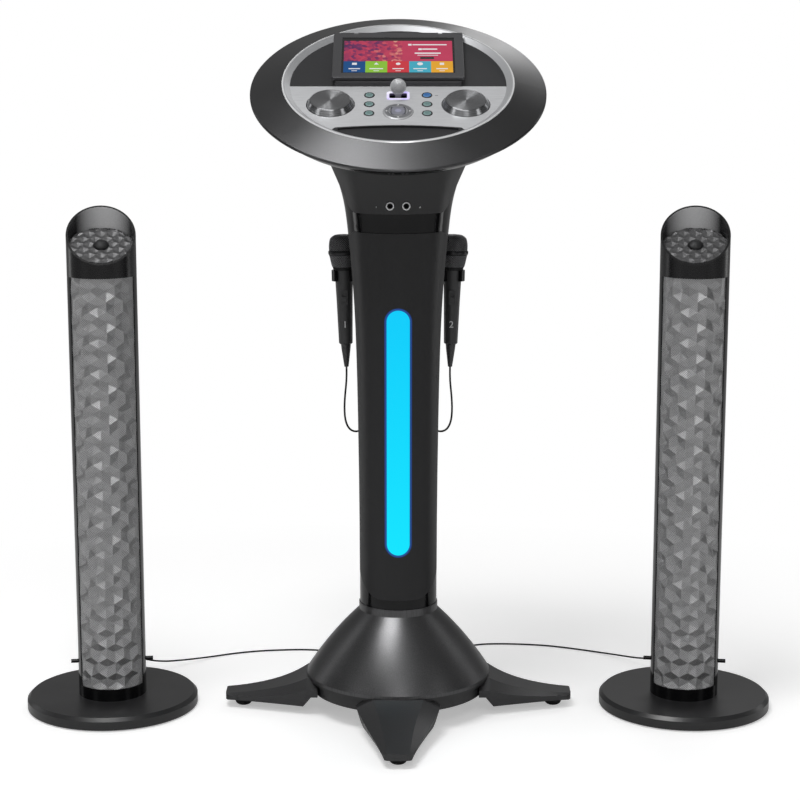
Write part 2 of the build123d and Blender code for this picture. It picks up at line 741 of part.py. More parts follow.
def make_trim_ring():
    ring = revolved(
        [
            (RING_SEAT_R, DECK_LOW),
            (RING_R, DECK_LOW),
            (RING_R, -0.9),
            (RING_R - 0.9, 0),
            (RING_TOP_IN_R, 0),
            (RING_LOW_IN_R, DECK_TOP + SEAT),
            (RING_SEAT_R, DECK_TOP + SEAT),
        ]
    )
    return on_head(ring)


def tray_outline(inset):
    """Plan of the disc tray, its corners cut to the trim ring's curve."""
    plan = Pos(0, (TRAY_FRONT + TRAY_REAR) / 2) * RectangleRounded(
        2 * (TRAY_HALF_W - inset), TRAY_REAR - TRAY_FRONT - 2 * inset, 3.0
    )
    return plan & Circle(TRAY_R - inset)


def well_bottom():
    return TRAY_TOP - WELL_DEPTH - WELL_FLOOR_T


def make_deck_plate():
    plate = disc(DECK_R, DECK_LOW, DECK_TOP)
    plate = plate - block(-DECK_R, DECK_R, -DECK_R - 1, DECK_SPLIT + SEAT, DECK_LOW - 1, DECK_TOP + 1)
    well = Pos(0, WELL_Y, 0) * disc(DISC_R + DISC_ROOM + 2.2 + 2 * SEAT, DECK_LOW - 1, DECK_TOP + 1)
    return on_head(plate - well)


def cradle_region(clearance):
    x, y = CRADLE_CORNER
    bevel_x, bevel_y = CRADLE_BEVEL
    shift = -clearance
    top = ThreePointArc((-x, y + shift), (0, CRADLE_ARC_Y + shift), (x, y + shift))
    rest = Polyline(
        (x, y + shift),
        (bevel_x + shift, bevel_y + shift),
        (bevel_x, -2 * DECK_R),
        (-bevel_x, -2 * DECK_R),
        (-bevel_x - shift, bevel_y + shift),
        (-x, y + shift),
    )
    return make_face([top, *rest.edges()])


def make_cradle():
    region = cradle_region(SEAT)
    slab = extrude(Pos(0, 0, DECK_LOW) * (region & Circle(DECK_R)), DECK_T - 0.3)
    x, y = CRADLE_CORNER
    inset = CRADLE_WALL * 2.2
    top = ThreePointArc((-x + inset, y - CRADLE_WALL), (0, CRADLE_ARC_Y - CRADLE_WALL), (x - inset, y - CRADLE_WALL))
    sides = Polyline((x - inset, y - CRADLE_WALL), (x, -2 * DECK_R), (-x, -2 * DECK_R), (-x + inset, y - CRADLE_WALL))
    pocket = make_face([top, *sides.edges()]) & Circle(RING_LOW_IN_R - CRADLE_WALL)
    floor = DECK_TOP - CRADLE_DEPTH
    return on_head(slab - extrude(Pos(0, 0, floor) * pocket, DECK_T))


def button_places():
    return [(side * BUTTON_X, y) for side in (-1, 1) for y in BUTTON_ROWS]


def make_control_plate():
    plate = disc(DECK_R, DECK_LOW, DECK_TOP)
    plate = plate - block(-DECK_R, DECK_R, DECK_SPLIT - SEAT, DECK_R + 1, DECK_LOW - 1, DECK_TOP + 1)
    cut = cradle_region(-SEAT)
    plate = plate - extrude(Pos(0, 0, DECK_LOW - 1) * cut, DECK_T + 2)
    for side in (-1, 1):
        plate = plate - Pos(side * JOG_X, JOG_Y, 0) * disc(JOG_HOLE_R, DECK_LOW - 1, DECK_TOP + 1)
    for x, y in button_places():
        plate = plate - Pos(x, y, 0) * disc(BEZEL_NECK_R + SEAT, DECK_LOW - 1, DECK_TOP + 1)
    plate = plate - Pos(0, NAV_Y, 0) * disc(NAV_R + 0.5, DECK_LOW - 1, DECK_TOP + 1)
    hole = RectangleRounded(LEVER_FRAME_W - 2 + 2 * SEAT, LEVER_FRAME_H - 2 + 2 * SEAT, 3.0)
    plate = plate - extrude(Pos(0, LEVER_Y, DECK_LOW - 1) * hole, DECK_T + 2)
    for x, y in ((-62, -22), (62, -22), (-40, -104), (40, -104)):
        plate = plate + Pos(x, y, 0) * disc(3, BOARD_TOP, DECK_LOW)
    return on_head(plate)


def make_jog(side):
    top = DECK_TOP + JOG_H
    low = DECK_LOW + GAP
    knob = revolved(
        [
            (0, low),
            (JOG_BASE_R, low),
            (JOG_BASE_R, DECK_TOP + 0.2),
            (JOG_TOP_R + 0.8, top - 0.9),
            (JOG_TOP_R, top - 0.2),
            (JOG_TOP_R - 1.2, top),
            (2.5, top - 0.5),
            (0, top - 0.8),
        ]
    )
    shaft = disc(JOG_SHAFT_R, BOARD_TOP + 1, low + 1)
    return on_head(Pos(side * JOG_X, JOG_Y, 0) * (knob + shaft))


def make_bezels():
    rings = []
    for x, y in button_places():
        ring = revolved(
            [
                (CAP_R + 0.15, DECK_LOW),
                (BEZEL_NECK_R, DECK_LOW),
                (BEZEL_NECK_R, DECK_TOP),
                (BEZEL_R, DECK_TOP),
                (BEZEL_R - 0.4, DECK_TOP + 0.6),
                (CAP_R + 0.5, DECK_TOP + 0.6),
                (CAP_R + 0.15, DECK_TOP + 0.2),
            ]
        )
        rings.append(on_head(Pos(x, y, 0) * ring))
    return rings


def make_button(x, y):
    top = DECK_TOP + CAP_RISE
    flange_top = DECK_LOW - GAP
    cap = revolved(
        [
            (0, flange_top - 1.4),
            (CAP_FLANGE_R, flange_top - 1.4),
            (CAP_FLANGE_R, flange_top),
            (CAP_R, flange_top),
            (CAP_R, top - 0.7),
            (CAP_R - 0.7, top),
            (0, top + 0.3),
        ]
    )
    stem = disc(STEM_R, BOARD_TOP + BUTTON_TRAVEL + 0.8, flange_top - 1)
    return on_head(Pos(x, y, 0) * (cap + stem))


def ok_outline(size, corner):
    return RectangleRounded(size, size, corner)


def make_nav_ring():
    top = DECK_TOP + NAV_RISE
    ring = revolved(
        [
            (0, top - NAV_T),
            (NAV_R, top - NAV_T),
            (NAV_R, top - 1.3),
            (NAV_R - 1.8, top),
            (0, top),
        ]
    )
    hole = extrude(Pos(0, 0, top - NAV_T - 1) * ok_outline(OK_SIZE + 2 * OK_GAP, OK_CORNER_R - OK_CORNER_ROOM), NAV_T + 2)
    return on_head(Pos(0, NAV_Y, 0) * (ring - hole))


def make_ok_button():
    top = DECK_TOP + OK_RISE
    low = DECK_LOW - 2
    cap = extrude(Pos(0, 0, low) * ok_outline(OK_SIZE, OK_CORNER_R), top - low)
    cap = chamfer(cap.faces().sort_by(Axis.Z)[-1].edges(), 0.7)
    stem = disc(STEM_R, BOARD_TOP + BUTTON_TRAVEL + 0.8, low + 1)
    return on_head(Pos(0, NAV_Y, 0) * (cap + stem))


def make_lever_frame():
    """A lit window frame with two ears below it that carry the lever's pins."""
    wide = RectangleRounded(LEVER_FRAME_W, LEVER_FRAME_H, 4.0)
    neck = RectangleRounded(LEVER_FRAME_W - 2, LEVER_FRAME_H - 2, 3.0)
    inner_w = LEVER_FRAME_W - 2 * LEVER_FRAME_WALL - 2
    inner_h = LEVER_FRAME_H - 2 * LEVER_FRAME_WALL
    inner = RectangleRounded(inner_w, inner_h, 2.4)
    rim = extrude(Pos(0, 0, DECK_TOP) * wide, LEVER_FRAME_RISE)
    walls = extrude(Pos(0, 0, DECK_LOW) * neck, DECK_T)
    frame = rim + walls
    frame = frame - extrude(Pos(0, 0, DECK_LOW - 1) * inner, DECK_T + 4)
    for side in (-1, 1):
        x0 = side * inner_w / 2
        x1 = side * (inner_w / 2 + LEVER_EAR_T)
        low, high = min(x0, x1), max(x0, x1)
        ear = block(low, high, -4, 4, LEVER_PIVOT - 3.2, DECK_LOW + 1)
        frame = frame + ear
    bore = Pos(0, 0, LEVER_PIVOT) * Rot(0, 90, 0) * Cylinder(LEVER_PIN_R + RUN, LEVER_FRAME_W)
    return on_head(Pos(0, LEVER_Y, 0) * (frame - bore))


def make_lever():
    ball_z = DECK_TOP + LEVER_BALL_UP
    ball = Pos(0, 0, ball_z) * Sphere(LEVER_BALL_R)
    neck = revolved(
        [
            (0, LEVER_PIVOT),
            (LEVER_NECK_R, LEVER_PIVOT),
            (LEVER_NECK_R, DECK_TOP + 1),
            (LEVER_NECK_R + 3.2, ball_z - LEVER_BALL_R + 3),
            (LEVER_NECK_R + 2.5, ball_z - 2),
            (0, ball_z - 2),
        ]
    )
    inner_w = LEVER_FRAME_W - 2 * LEVER_FRAME_WALL - 2
    yoke = block(-inner_w / 2 + GAP, inner_w / 2 - GAP, -2.2, 2.2, LEVER_PIVOT - 2.2, LEVER_PIVOT + 2.2)
    pin_half = inner_w / 2 + LEVER_EAR_T
    pin = Pos(0, 0, LEVER_PIVOT) * Rot(0, 90, 0) * Cylinder(LEVER_PIN_R, 2 * pin_half)
    return on_head(Pos(0, LEVER_Y, 0) * (ball + neck + yoke + pin))


def hinge_spots():
    return [side * HINGE_X for side in (-1, 1)]


def make_lid_housing():
    middle_y = (LID_FRONT + LID_REAR) / 2
    plan = Pos(0, middle_y) * RectangleRounded(2 * LID_HALF_W, LID_REAR - LID_FRONT, 1.6)
    lid = extrude(Pos(0, 0, LID_LOW) * plan, LID_TOP - LID_LOW)
    lid = chamfer(lid.faces().sort_by(Axis.Z)[-1].edges(), 0.8)
    lid = lid - block(-PANEL_HALF_W, PANEL_HALF_W, PANEL_FRONT, PANEL_REAR, LID_LOW + LID_BACK_T, LID_TOP + 1)
    for x in hinge_spots():
        half = HINGE_EAR_T / 2 + GAP
        lid = lid - block(x - half, x + half, HINGE_Y - HINGE_EAR_R - 0.5, LID_REAR + 1, LID_LOW - 1, LID_TOP + 1)
        long_bore = Cylinder(HINGE_PIN_R + RUN, HINGE_EAR_T + 2 * HINGE_PIN_L + 1)
        lid = lid - Pos(x, HINGE_Y, HINGE_Z) * Rot(0, 90, 0) * long_bore
    return on_head(lid)


def make_screen_panel():
    low = LID_LOW + LID_BACK_T
    high = LID_TOP - PANEL_SUNK
    return on_head(
        block(
            -PANEL_HALF_W + SEAT,
            PANEL_HALF_W - SEAT,
            PANEL_FRONT + SEAT,
            PANEL_REAR - SEAT,
            low,
            high,
        )
    )


def make_disc_tray():
    """The plinth with the disc well, the lid's hinge ears, and the motor below the floor."""
    tray = extrude(Pos(0, 0, DECK_TOP) * tray_outline(0), (TRAY_TOP - DECK_TOP) / 2 - 0.3)
    upper = (TRAY_TOP + DECK_TOP) / 2 - 0.4
    tray = tray + extrude(Pos(0, 0, upper) * tray_outline(0.7), TRAY_TOP - upper)
    bottom = well_bottom()
    tray = tray + Pos(0, WELL_Y, 0) * disc(DISC_R + DISC_ROOM + 2.2, bottom, DECK_TOP + 1)
    tray = tray - Pos(0, WELL_Y, 0) * disc(DISC_R + DISC_ROOM, TRAY_TOP - WELL_DEPTH, TRAY_TOP + 1)
    relief_y = HINGE_Y - HINGE_RELIEF / 2
    tray = tray - block(-TRAY_HALF_W, TRAY_HALF_W, relief_y, TRAY_REAR + 1, TRAY_TOP - 3, TRAY_TOP + 1)
    for x in hinge_spots():
        half = HINGE_EAR_T / 2
        ear = block(x - half, x + half, HINGE_Y - HINGE_EAR_R, HINGE_Y + HINGE_EAR_R, TRAY_TOP - 4, HINGE_Z)
        ear = ear + Pos(x, HINGE_Y, HINGE_Z) * Rot(0, 90, 0) * Cylinder(HINGE_EAR_R, HINGE_EAR_T)
        pin = Pos(x, HINGE_Y, HINGE_Z) * Rot(0, 90, 0) * Cylinder(HINGE_PIN_R, HINGE_EAR_T + 2 * HINGE_PIN_L)
        tray = tray + ear + pin
    slot_end = DISC_R - PICKUP_END_GAP
    slot = block(SLOT_START, slot_end, WELL_Y - PICKUP_W / 2 - GAP, WELL_Y + PICKUP_W / 2 + GAP, bottom - 1, 0)
    tray = tray - slot
    rail_y = WELL_Y + PICKUP_W / 2 + GAP
    for y0 in (WELL_Y - PICKUP_W / 2 - GAP - RAIL_W, rail_y):
        tray = tray + block(SLOT_START - 2, slot_end + 2, y0, y0 + RAIL_W, bottom - 4, bottom + 1)
    bore = Pos(0, WELL_Y, 0) * disc(SPINDLE_SHAFT_R + RUN, bottom - 1, 0)
    motor = Pos(0, WELL_Y, 0) * disc(MOTOR_R, bottom - MOTOR_H, bottom)
    shaft_room = Pos(0, WELL_Y, 0) * disc(SPINDLE_SHAFT_R + RUN, bottom - MOTOR_H + 2, bottom + 1)
    return [on_head(tray - bore), on_head(motor - shaft_room)]


def make_spindle():
    floor = TRAY_TOP - WELL_DEPTH
    hub = revolved(
        [
            (0, floor + GAP),
            (SPINDLE_R + 4, floor + GAP),
            (SPINDLE_R + 4, floor + GAP + 1.0),
            (SPINDLE_R, floor + GAP + 1.0),
            (SPINDLE_R, floor + 3.0),
            (SPINDLE_R - 2, floor + 4.2),
            (0, floor + 4.2),
        ]
    )
    shaft = disc(SPINDLE_SHAFT_R, well_bottom() - MOTOR_H + 2.5, floor + 1)
    return on_head(Pos(0, WELL_Y, 0) * (hub + shaft))


def make_pickup():
    """The laser sled at the inner end of its travel along +X."""
    top = TRAY_TOP - WELL_DEPTH - 0.6
    x0 = SLOT_START + GAP
    sled = block(x0, x0 + PICKUP_L, WELL_Y - PICKUP_W / 2, WELL_Y + PICKUP_W / 2, top - PICKUP_H, top)
    lens = Pos(x0 + PICKUP_L / 2, WELL_Y, 0) * disc(3, top - 1, top + 0.4)
    return on_head(sled + lens)


def make_boards():
    """Control board under the deck, main board in the bowl, and the light strip's board."""
    control = block(-BOARD_HALF_W, BOARD_HALF_W, *CONTROL_BOARD_Y, BOARD_TOP - BOARD_T, BOARD_TOP)
    encoders = []
    for side in (-1, 1):
        ends = sorted((side * (BOARD_HALF_W - 10), side * (JOG_X + 10)))
        arm = block(*ends, JOG_Y - 12, JOG_Y + 12, BOARD_TOP - BOARD_T, BOARD_TOP)
        encoder = Pos(side * JOG_X, JOG_Y, 0) * disc(ENCODER_R, BOARD_TOP - BOARD_T, BOARD_TOP + 5)
        encoders.append(Pos(side * JOG_X, JOG_Y, 0) * disc(JOG_SHAFT_R + RUN, BOARD_TOP + 0.5, BOARD_TOP + 6))
        control = control + arm + encoder
    for bore in encoders:
        control = control - bore
    for x, y in [*button_places(), (0, NAV_Y)]:
        spot = Pos(x, y, 0)
        control = control + spot * disc(SWITCH_R, BOARD_TOP - 0.5, BOARD_TOP + 4)
        control = control - spot * disc(STEM_R + RUN * 2, BOARD_TOP + 0.3, BOARD_TOP + 5)
    low = main_board_low()
    main = block(-BOARD_HALF_W, BOARD_HALF_W, *MAIN_BOARD_Y, low, low + BOARD_T)
    for x0, y0, w, d, h in ((-20, -20, 30, 30, 3), (30, 0, 16, 12, 8), (-55, 10, 14, 25, 10), (20, -50, 40, 12, 5)):
        main = main + block(x0, x0 + w, y0, y0 + d, low + 1, low + BOARD_T + h)
    back = light_back_y()
    strip = block(-LED_BOARD_W / 2, LED_BOARD_W / 2, back, back + LED_BOARD_T, LIGHT_LOW_Z + 8, LIGHT_TOP_Z - 8)
    return [on_head(control), on_head(main), strip]


# ---- microphones ----
def make_mic_head():
    return revolved([(0, MIC_STEP), *MIC_HEAD_OUTLINE, (0, MIC_HEAD_OUTLINE[-1][1] + 0.6)])


def mic_radius(z):
    """Radius of the tapered body at a height along the microphone."""
    high = MIC_STEP - SEAT
    if z > MIC_BODY_MID_Z:
        share = (z - MIC_BODY_MID_Z) / (high - MIC_BODY_MID_Z)
        return MIC_BODY_MID_R + share * (MIC_BODY_TOP_R - MIC_BODY_MID_R)
    share = (z - MIC_BODY_LOW_Z) / (MIC_BODY_MID_Z - MIC_BODY_LOW_Z)
    return MIC_BODY_LOW_R + share * (MIC_BODY_MID_R - MIC_BODY_LOW_R)


def make_mic_body():
    body = revolved(
        [
            (0, MIC_STEP),
            (MIC_BODY_TOP_R, MIC_STEP),
            (MIC_BODY_MID_R, MIC_BODY_MID_Z),
            (MIC_BODY_LOW_R, MIC_BODY_LOW_Z + 1.5),
            (MIC_BODY_LOW_R - 1.5, MIC_BODY_LOW_Z),
            (0, MIC_BODY_LOW_Z),
        ]
    )
    low, high = SWITCH_PLATE_Z
    front = mic_radius((low + high) / 2) + SWITCH_PLATE_RISE
    plate = block(-SWITCH_PLATE_W / 2, SWITCH_PLATE_W / 2, -front, -front + 4, low, high)
    body = body + plate
    mid = (low + high) / 2
    half = SWITCH_L / 2 + SWITCH_TRAVEL / 2 + GAP
    window = block(-SWITCH_W / 2 - GAP, SWITCH_W / 2 + GAP, -front - 1, -front + 2, mid - half, mid + half)
    boot = revolved(
        [
            (0, MIC_BODY_LOW_Z),
            (BOOT_TOP_R, MIC_BODY_LOW_Z),
            (BOOT_TOP_R - 0.8, MIC_BODY_LOW_Z - 8),
            (BOOT_LOW_R, BOOT_LOW_Z),
            (0, BOOT_LOW_Z),
        ]
    )
    return [body - window, boot]


def make_mic_switch():
    """The on-off slider at the lower end of its travel."""
    low, high = SWITCH_PLATE_Z
    front = mic_radius((low + high) / 2) + SWITCH_PLATE_RISE
    z0 = (low + high) / 2 - SWITCH_L / 2 - SWITCH_TRAVEL / 2
    y_back = -front + 2 - GAP
    y_front = -front + 1 - SWITCH_RISE
    slider = block(-SWITCH_W / 2, SWITCH_W / 2, y_front, y_back, z0, z0 + SWITCH_L)
    return slider


# ---- speaker towers ----
def make_tower_base():
    base = disc(TOWER_BASE_R, TOWER_PAD_H, TOWER_BASE_TOP)
    return chamfer(base.edges().sort_by(Axis.Z)[-1], TOWER_BASE_CHAMFER)


def sector(outer, inner, low, high, half_angle, middle):
    """Part of a tube, half_angle each side of the middle direction, in degrees from +X."""
    flat = Rectangle(outer - inner, high - low, align=(Align.MIN, Align.MIN))
    face = Pos(inner, 0, low) * (Rot(90, 0, 0) * flat)
    return Rot(0, 0, middle - half_angle) * revolve(face, Axis.Z, 2 * half_angle)


def make_tower_shell():
    """The rear half shell with the closed foot ring, the side pegs and the speaker socket."""
    ring = tube(TOWER_R, TOWER_R - 2 * TOWER_WALL, TOWER_BASE_TOP, TOWER_RING_TOP)
    rear_half = 180 - GRILLE_HALF_ANGLE - 1
    rear = sector(TOWER_R, TOWER_R - TOWER_WALL, TOWER_RING_TOP - 1, GRILLE_TOP, rear_half, 90)
    shell = ring + rear
    for side in (-1, 1):
        peg = Pos(side * (TOWER_R - 1), 12, PEG_Z) * Rot(0, side * 90, 0) * Cylinder(PEG_R, PEG_L + 2, align=BOTTOM)
        shell = shell + (peg - disc(TOWER_R - TOWER_WALL + 1, 0, GRILLE_TOP))
    socket = Pos(0, TOWER_R - 1, TOWER_SOCKET_Z) * Rot(-90, 0, 0) * make_socket(SOCKET_L + 1)
    pad = Pos(0, TOWER_R - 2, TOWER_SOCKET_Z) * Rot(-90, 0, 0) * disc(6.5, 0, 2.5)
    shell = shell + pad + socket
    bore = Pos(0, TOWER_R + 1, TOWER_SOCKET_Z) * Rot(-90, 0, 0) * disc(SOCKET_BORE_R, 0, 20)
    return shell - bore


def make_socket(length):
    return disc(SOCKET_R, 0, length)


def make_tower_grilles():
    front = sector(
        TOWER_R - GRILLE_SUNK,
        TOWER_R - GRILLE_SUNK - GRILLE_T,
        TOWER_RING_TOP,
        GRILLE_TOP,
        GRILLE_HALF_ANGLE,
        -90,
    )
    bore = disc(TOWER_R - TOWER_WALL - SEAT, GRILLE_TOP - 40, CAP_REAR_Z)
    place = Pos(0, 0, TOP_GRILLE_Z) * Rot(TOP_GRILLE_TILT, 0, 0)
    slab = place * Box(4 * TOWER_R, 4 * TOWER_R, TOP_GRILLE_T)
    dome = place * (Sphere(DOME_R) & disc(2 * DOME_R, 0, 6))
    return [front, (bore & slab) + dome]


def make_cap():
    slope = (CAP_REAR_Z - CAP_LIP_Z) / (2 * TOWER_R)
    cap = tube(TOWER_R, TOWER_R - TOWER_WALL, GRILLE_TOP, CAP_REAR_Z)
    middle_z = (CAP_REAR_Z + CAP_LIP_Z) / 2
    cutter = Pos(0, 0, middle_z) * Rot(math.degrees(math.atan(slope)), 0, 0) * Box(400, 400, 200, align=BOTTOM)
    cap = cap - cutter
    floor = disc(TOWER_R - TOWER_WALL + 1, GRILLE_TOP, GRILLE_TOP + 3)
    return cap + floor


def driver_heights():
    return [DRIVER_FIRST_Z + i * DRIVER_PITCH for i in range(DRIVER_COUNT)]


def make_drivers():
    """The baffle board with its loudspeakers, which face -Y."""
    inner = TOWER_R - TOWER_WALL - SEAT
    baffle = block(-inner, inner, BAFFLE_Y - BAFFLE_T, BAFFLE_Y, TOWER_RING_TOP + 4, GRILLE_TOP - 4)
    baffle = baffle & disc(inner, TOWER_RING_TOP, GRILLE_TOP)
    driver = revolved(
        [
            (0, 5),
            (DRIVER_R - 8, 5),
            (DRIVER_R - 8, 3),
            (DRIVER_R, 3),
            (DRIVER_R, 0),
            (DRIVER_HOLE_R - 1, 0),
            (DRIVER_HOLE_R - 12, -18),
            (DRIVER_HOLE_R - 10, -20),
            (DRIVER_HOLE_R - 10, -32),
            (0, -32),
        ]
    )
    solids = []
    for z in driver_heights():
        place = Plane(origin=(0, BAFFLE_Y - BAFFLE_T, z), x_dir=(1, 0, 0), z_dir=(0, -1, 0)).location
        baffle = baffle - place * disc(DRIVER_HOLE_R, -BAFFLE_T - 1, 1)
        solids.append(place * driver)
    return [baffle, *solids]


# ---- rear fittings, plugs and cords ----
def make_rear_fittings():
    fittings = []
    for name, angle in rear_places().items():
        plate = Box(PANEL_PLATE_W, PANEL_PLATE_H, PANEL_PLATE_T, align=BOTTOM)
        socket_x = socket_offset(name)
        plate = plate + Pos(socket_x, 0, 0) * disc(SOCKET_R, PANEL_PLATE_T - 1, PANEL_PLATE_T + SOCKET_L)
        plate = plate - Pos(socket_x, 0, 0) * disc(SOCKET_BORE_R, 1, PANEL_PLATE_T + SOCKET_L + 1)
        if name == "right":
            recess = Box(INLET_W, INLET_H, 10, align=BOTTOM)
            plate = plate - Pos(-socket_x, 0, PANEL_PLATE_T - INLET_DEPTH) * recess
        fittings.append(plate_location(angle) * plate)
    z0 = COIL_Z + COIL_MEAN_R - COIL_BUNDLE_R - HOOK_R - 0.2
    back = column_skin(SEAT, HOOK_PLATE_T, 100, 90)
    back = back & block(-90, 90, 0, 90, z0 - HOOK_PLATE_H / 2, z0 + HOOK_PLATE_H / 2)
    for side in (-1, 1):
        place = Pos(side * COIL_X, 0, z0) * Rot(-90, 0, 0)
        peg = place * disc(HOOK_R, 20, HOOK_REACH)
        end = place * disc(HOOK_END_R, HOOK_REACH - 3, HOOK_REACH)
        back = back + ((peg + end) - column_volume(SEAT))
    fittings.append(back)
    return fittings


def socket_offset(name):
    """Across the plate from its middle to the speaker socket."""
    return {"left": 0.0, "right": 14.0}[name]


def make_plug():
    """A round plug over a socket, its face at 0 and its cord end at PLUG_L."""
    body = revolved(
        [
            (0, SOCKET_L + 1),
            (SOCKET_R + SEAT, SOCKET_L + 1),
            (SOCKET_R + SEAT, 0),
            (PLUG_R, 0),
            (PLUG_R, PLUG_L - 9),
            (PLUG_R - 2, PLUG_L),
            (0, PLUG_L),
        ]
    )
    return body


def make_mic_plug():
    """A jack plug that hangs by its cord, the cord end at 0."""
    low = -MIC_PLUG_L
    return revolved(
        [
            (0, 0),
            (MIC_PLUG_R - 2.5, 0),
            (MIC_PLUG_R, -9),
            (MIC_PLUG_R, low),
            (MIC_PLUG_TIP_R, low),
            (MIC_PLUG_TIP_R, low - MIC_PLUG_TIP_L + 3),
            (0, low - MIC_PLUG_TIP_L),
        ]
    )


def tower_plug_place(side):
    return Pos(side * TOWER_X, 0, 0) * Rot(0, 0, -side * TOWER_TOE_IN) * Pos(0, TOWER_R + 1.5 + GAP, TOWER_SOCKET_Z) * Rot(-90, 0, 0)


def hub_plug_place(side):
    name = "left" if side < 0 else "right"
    angle = rear_places()[name]
    return plate_location(angle) * Pos(socket_offset(name), 0, PANEL_PLATE_T + GAP)


def make_plugs():
    plugs = []
    for side in (-1, 1):
        plugs.append(tower_plug_place(side) * make_plug())
        plugs.append(hub_plug_place(side) * make_plug())
        top = mic_tail_top(side)
        plugs.append(Pos(top.X, top.Y, top.Z - TAIL_L) * make_mic_plug())
    return plugs


def make_cord(name, points, diameter):
    """A tube of straight runs and tangent arcs, each arc as large as its runs allow."""
    spots = [Vector(*p) for p in points]
    runs = [b - a for a, b in zip(spots, spots[1:])]
    radii = []
    for one, two in zip(runs, runs[1:]):
        turn = math.radians(one.get_angle(two))
        radii.append(0.45 * min(one.length, two.length) / math.tan(turn / 2))
    path = FilletPolyline(*spots, radius=radii)
    cord = sweep(Plane(origin=path @ 0, z_dir=path % 0) * Circle(diameter / 2), path=path)
    section = math.pi * diameter**2 / 4
    print(name, "runs", [round(run.length, 1) for run in runs])
    print(name, "radii", [round(radius, 1) for radius in radii], "length", round(path.length, 1))
    print(name, "volume over section times length", round(cord.volume / (section * path.length), 4))
    return cord


# Each route is a list of hand-placed points, between the ends that its plugs or glands set.
SPEAKER_LEFT = [
    (-449.0, 116.0, 43.0),
    (-441.5, 137.0, 35.5),
    (-422.0, 150.0, 26.5),
    (-397.0, 155.5, 18.6),
    (-375.0, 163.5, 13.6),
    (-352.0, 179.5, 10.2),
    (-328.5, 200.0, 6.4),
    (-303.0, 224.5, 2.2),
    (-272.0, 243.0, 1.45),
    (-235.0, 256.0, 1.45),
    (-198.0, 262.3, 1.45),
    (-161.0, 265.2, 1.45),
    (-129.0, 262.0, 1.45),
    (-105.0, 246.5, 1.45),
    (-97.0, 221.0, 1.45),
    (-102.5, 197.0, 3.0),
    (-114.0, 176.5, 11.0),
    (-123.5, 158.5, 24.0),
    (-128.0, 140.0, 35.5),
]
SPEAKER_RIGHT = [
    (449.5, 117.0, 43.0),
    (442.0, 141.0, 34.5),
    (426.0, 158.0, 25.0),
    (407.5, 167.0, 17.6),
    (388.0, 181.0, 13.4),
    (372.0, 203.0, 8.8),
    (357.0, 225.5, 4.6),
    (336.0, 244.0, 2.2),
    (309.0, 260.0, 1.45),
    (277.0, 275.0, 1.45),
    (243.0, 287.5, 1.45),
    (207.0, 294.0, 1.45),
    (170.0, 297.0, 1.45),
    (136.0, 294.5, 1.45),
    (110.0, 280.5, 1.45),
    (98.5, 255.5, 1.45),
    (99.5, 229.0, 1.45),
    (106.5, 205.0, 2.8),
    (117.0, 185.0, 11.0),
    (122.5, 167.0, 22.0),
    (121.0, 149.0, 33.0),
]
MIC_LEAD = [
    (79.9, 50.3, 466.0),
    (81.0, 51.2, 443.5),
    (79.4, 53.3, 424.5),
    (72.6, 57.5, 411.0),
    (61.0, 63.5, 407.6),
    (52.0, 69.0, 413.5),
]
PLUG_RUN = 18.0  # straight stretch of cord behind each plug or boot


def spot_of(place, height):
    """The point at a height along a place's own axis."""
    spot = (place * Pos(0, 0, height)).position
    return (spot.X, spot.Y, spot.Z)


def at_mic_place(side):
    return Pos(side * MIC_X, MIC_Y, MIC_Z) * Rot(0, side * MIC_LEAN, 0)


def coil_bottom(across):
    """Height of a coil's outer face below its middle, at a distance across from it."""
    return COIL_Z - math.sqrt((COIL_MEAN_R + COIL_BUNDLE_R) ** 2 - across**2)


def lead_end(side):
    """Where the lead comes up into the outer side of its coil."""
    return (side * (COIL_X + COIL_MEAN_R), COIL_Y, coil_bottom(COIL_MEAN_R) + TAIL_SUNK)


def mic_tail_top(side):
    x = side * (COIL_X - TAIL_X)
    return Vector(x, COIL_Y, coil_bottom(TAIL_X) + TAIL_SUNK)


def make_mic_cord(name, side):
    """The lead from the boot to the coil, and the tail from the coil to the plug."""
    boot = at_mic_place(side)
    points = [spot_of(boot, BOOT_LOW_Z), spot_of(boot, BOOT_LOW_Z - PLUG_RUN)]
    points += [(side * x, y, z) for x, y, z in MIC_LEAD]
    lead = make_cord(name, [*points, lead_end(side)], MIC_CORD_D)
    top = mic_tail_top(side)
    tail = Pos(top.X, top.Y, top.Z - TAIL_L) * disc(MIC_CORD_D / 2, 0, TAIL_L)
    return [lead, tail]


def make_coil(side):
    return Pos(side * COIL_X, COIL_Y, COIL_Z) * Rot(90, 0, 0) * Torus(COIL_MEAN_R, COIL_BUNDLE_R)


def make_speaker_cord(name, side, route):
    tower = tower_plug_place(side)
    hub = hub_plug_place(side)
    points = [spot_of(tower, PLUG_L), spot_of(tower, PLUG_L + PLUG_RUN), *route]
    points += [spot_of(hub, PLUG_L + PLUG_RUN), spot_of(hub, PLUG_L)]
    return make_cord(name, points, SPEAKER_CORD_D)


# ---- all nodes ----
SIDES = {"left": -1, "right": 1}


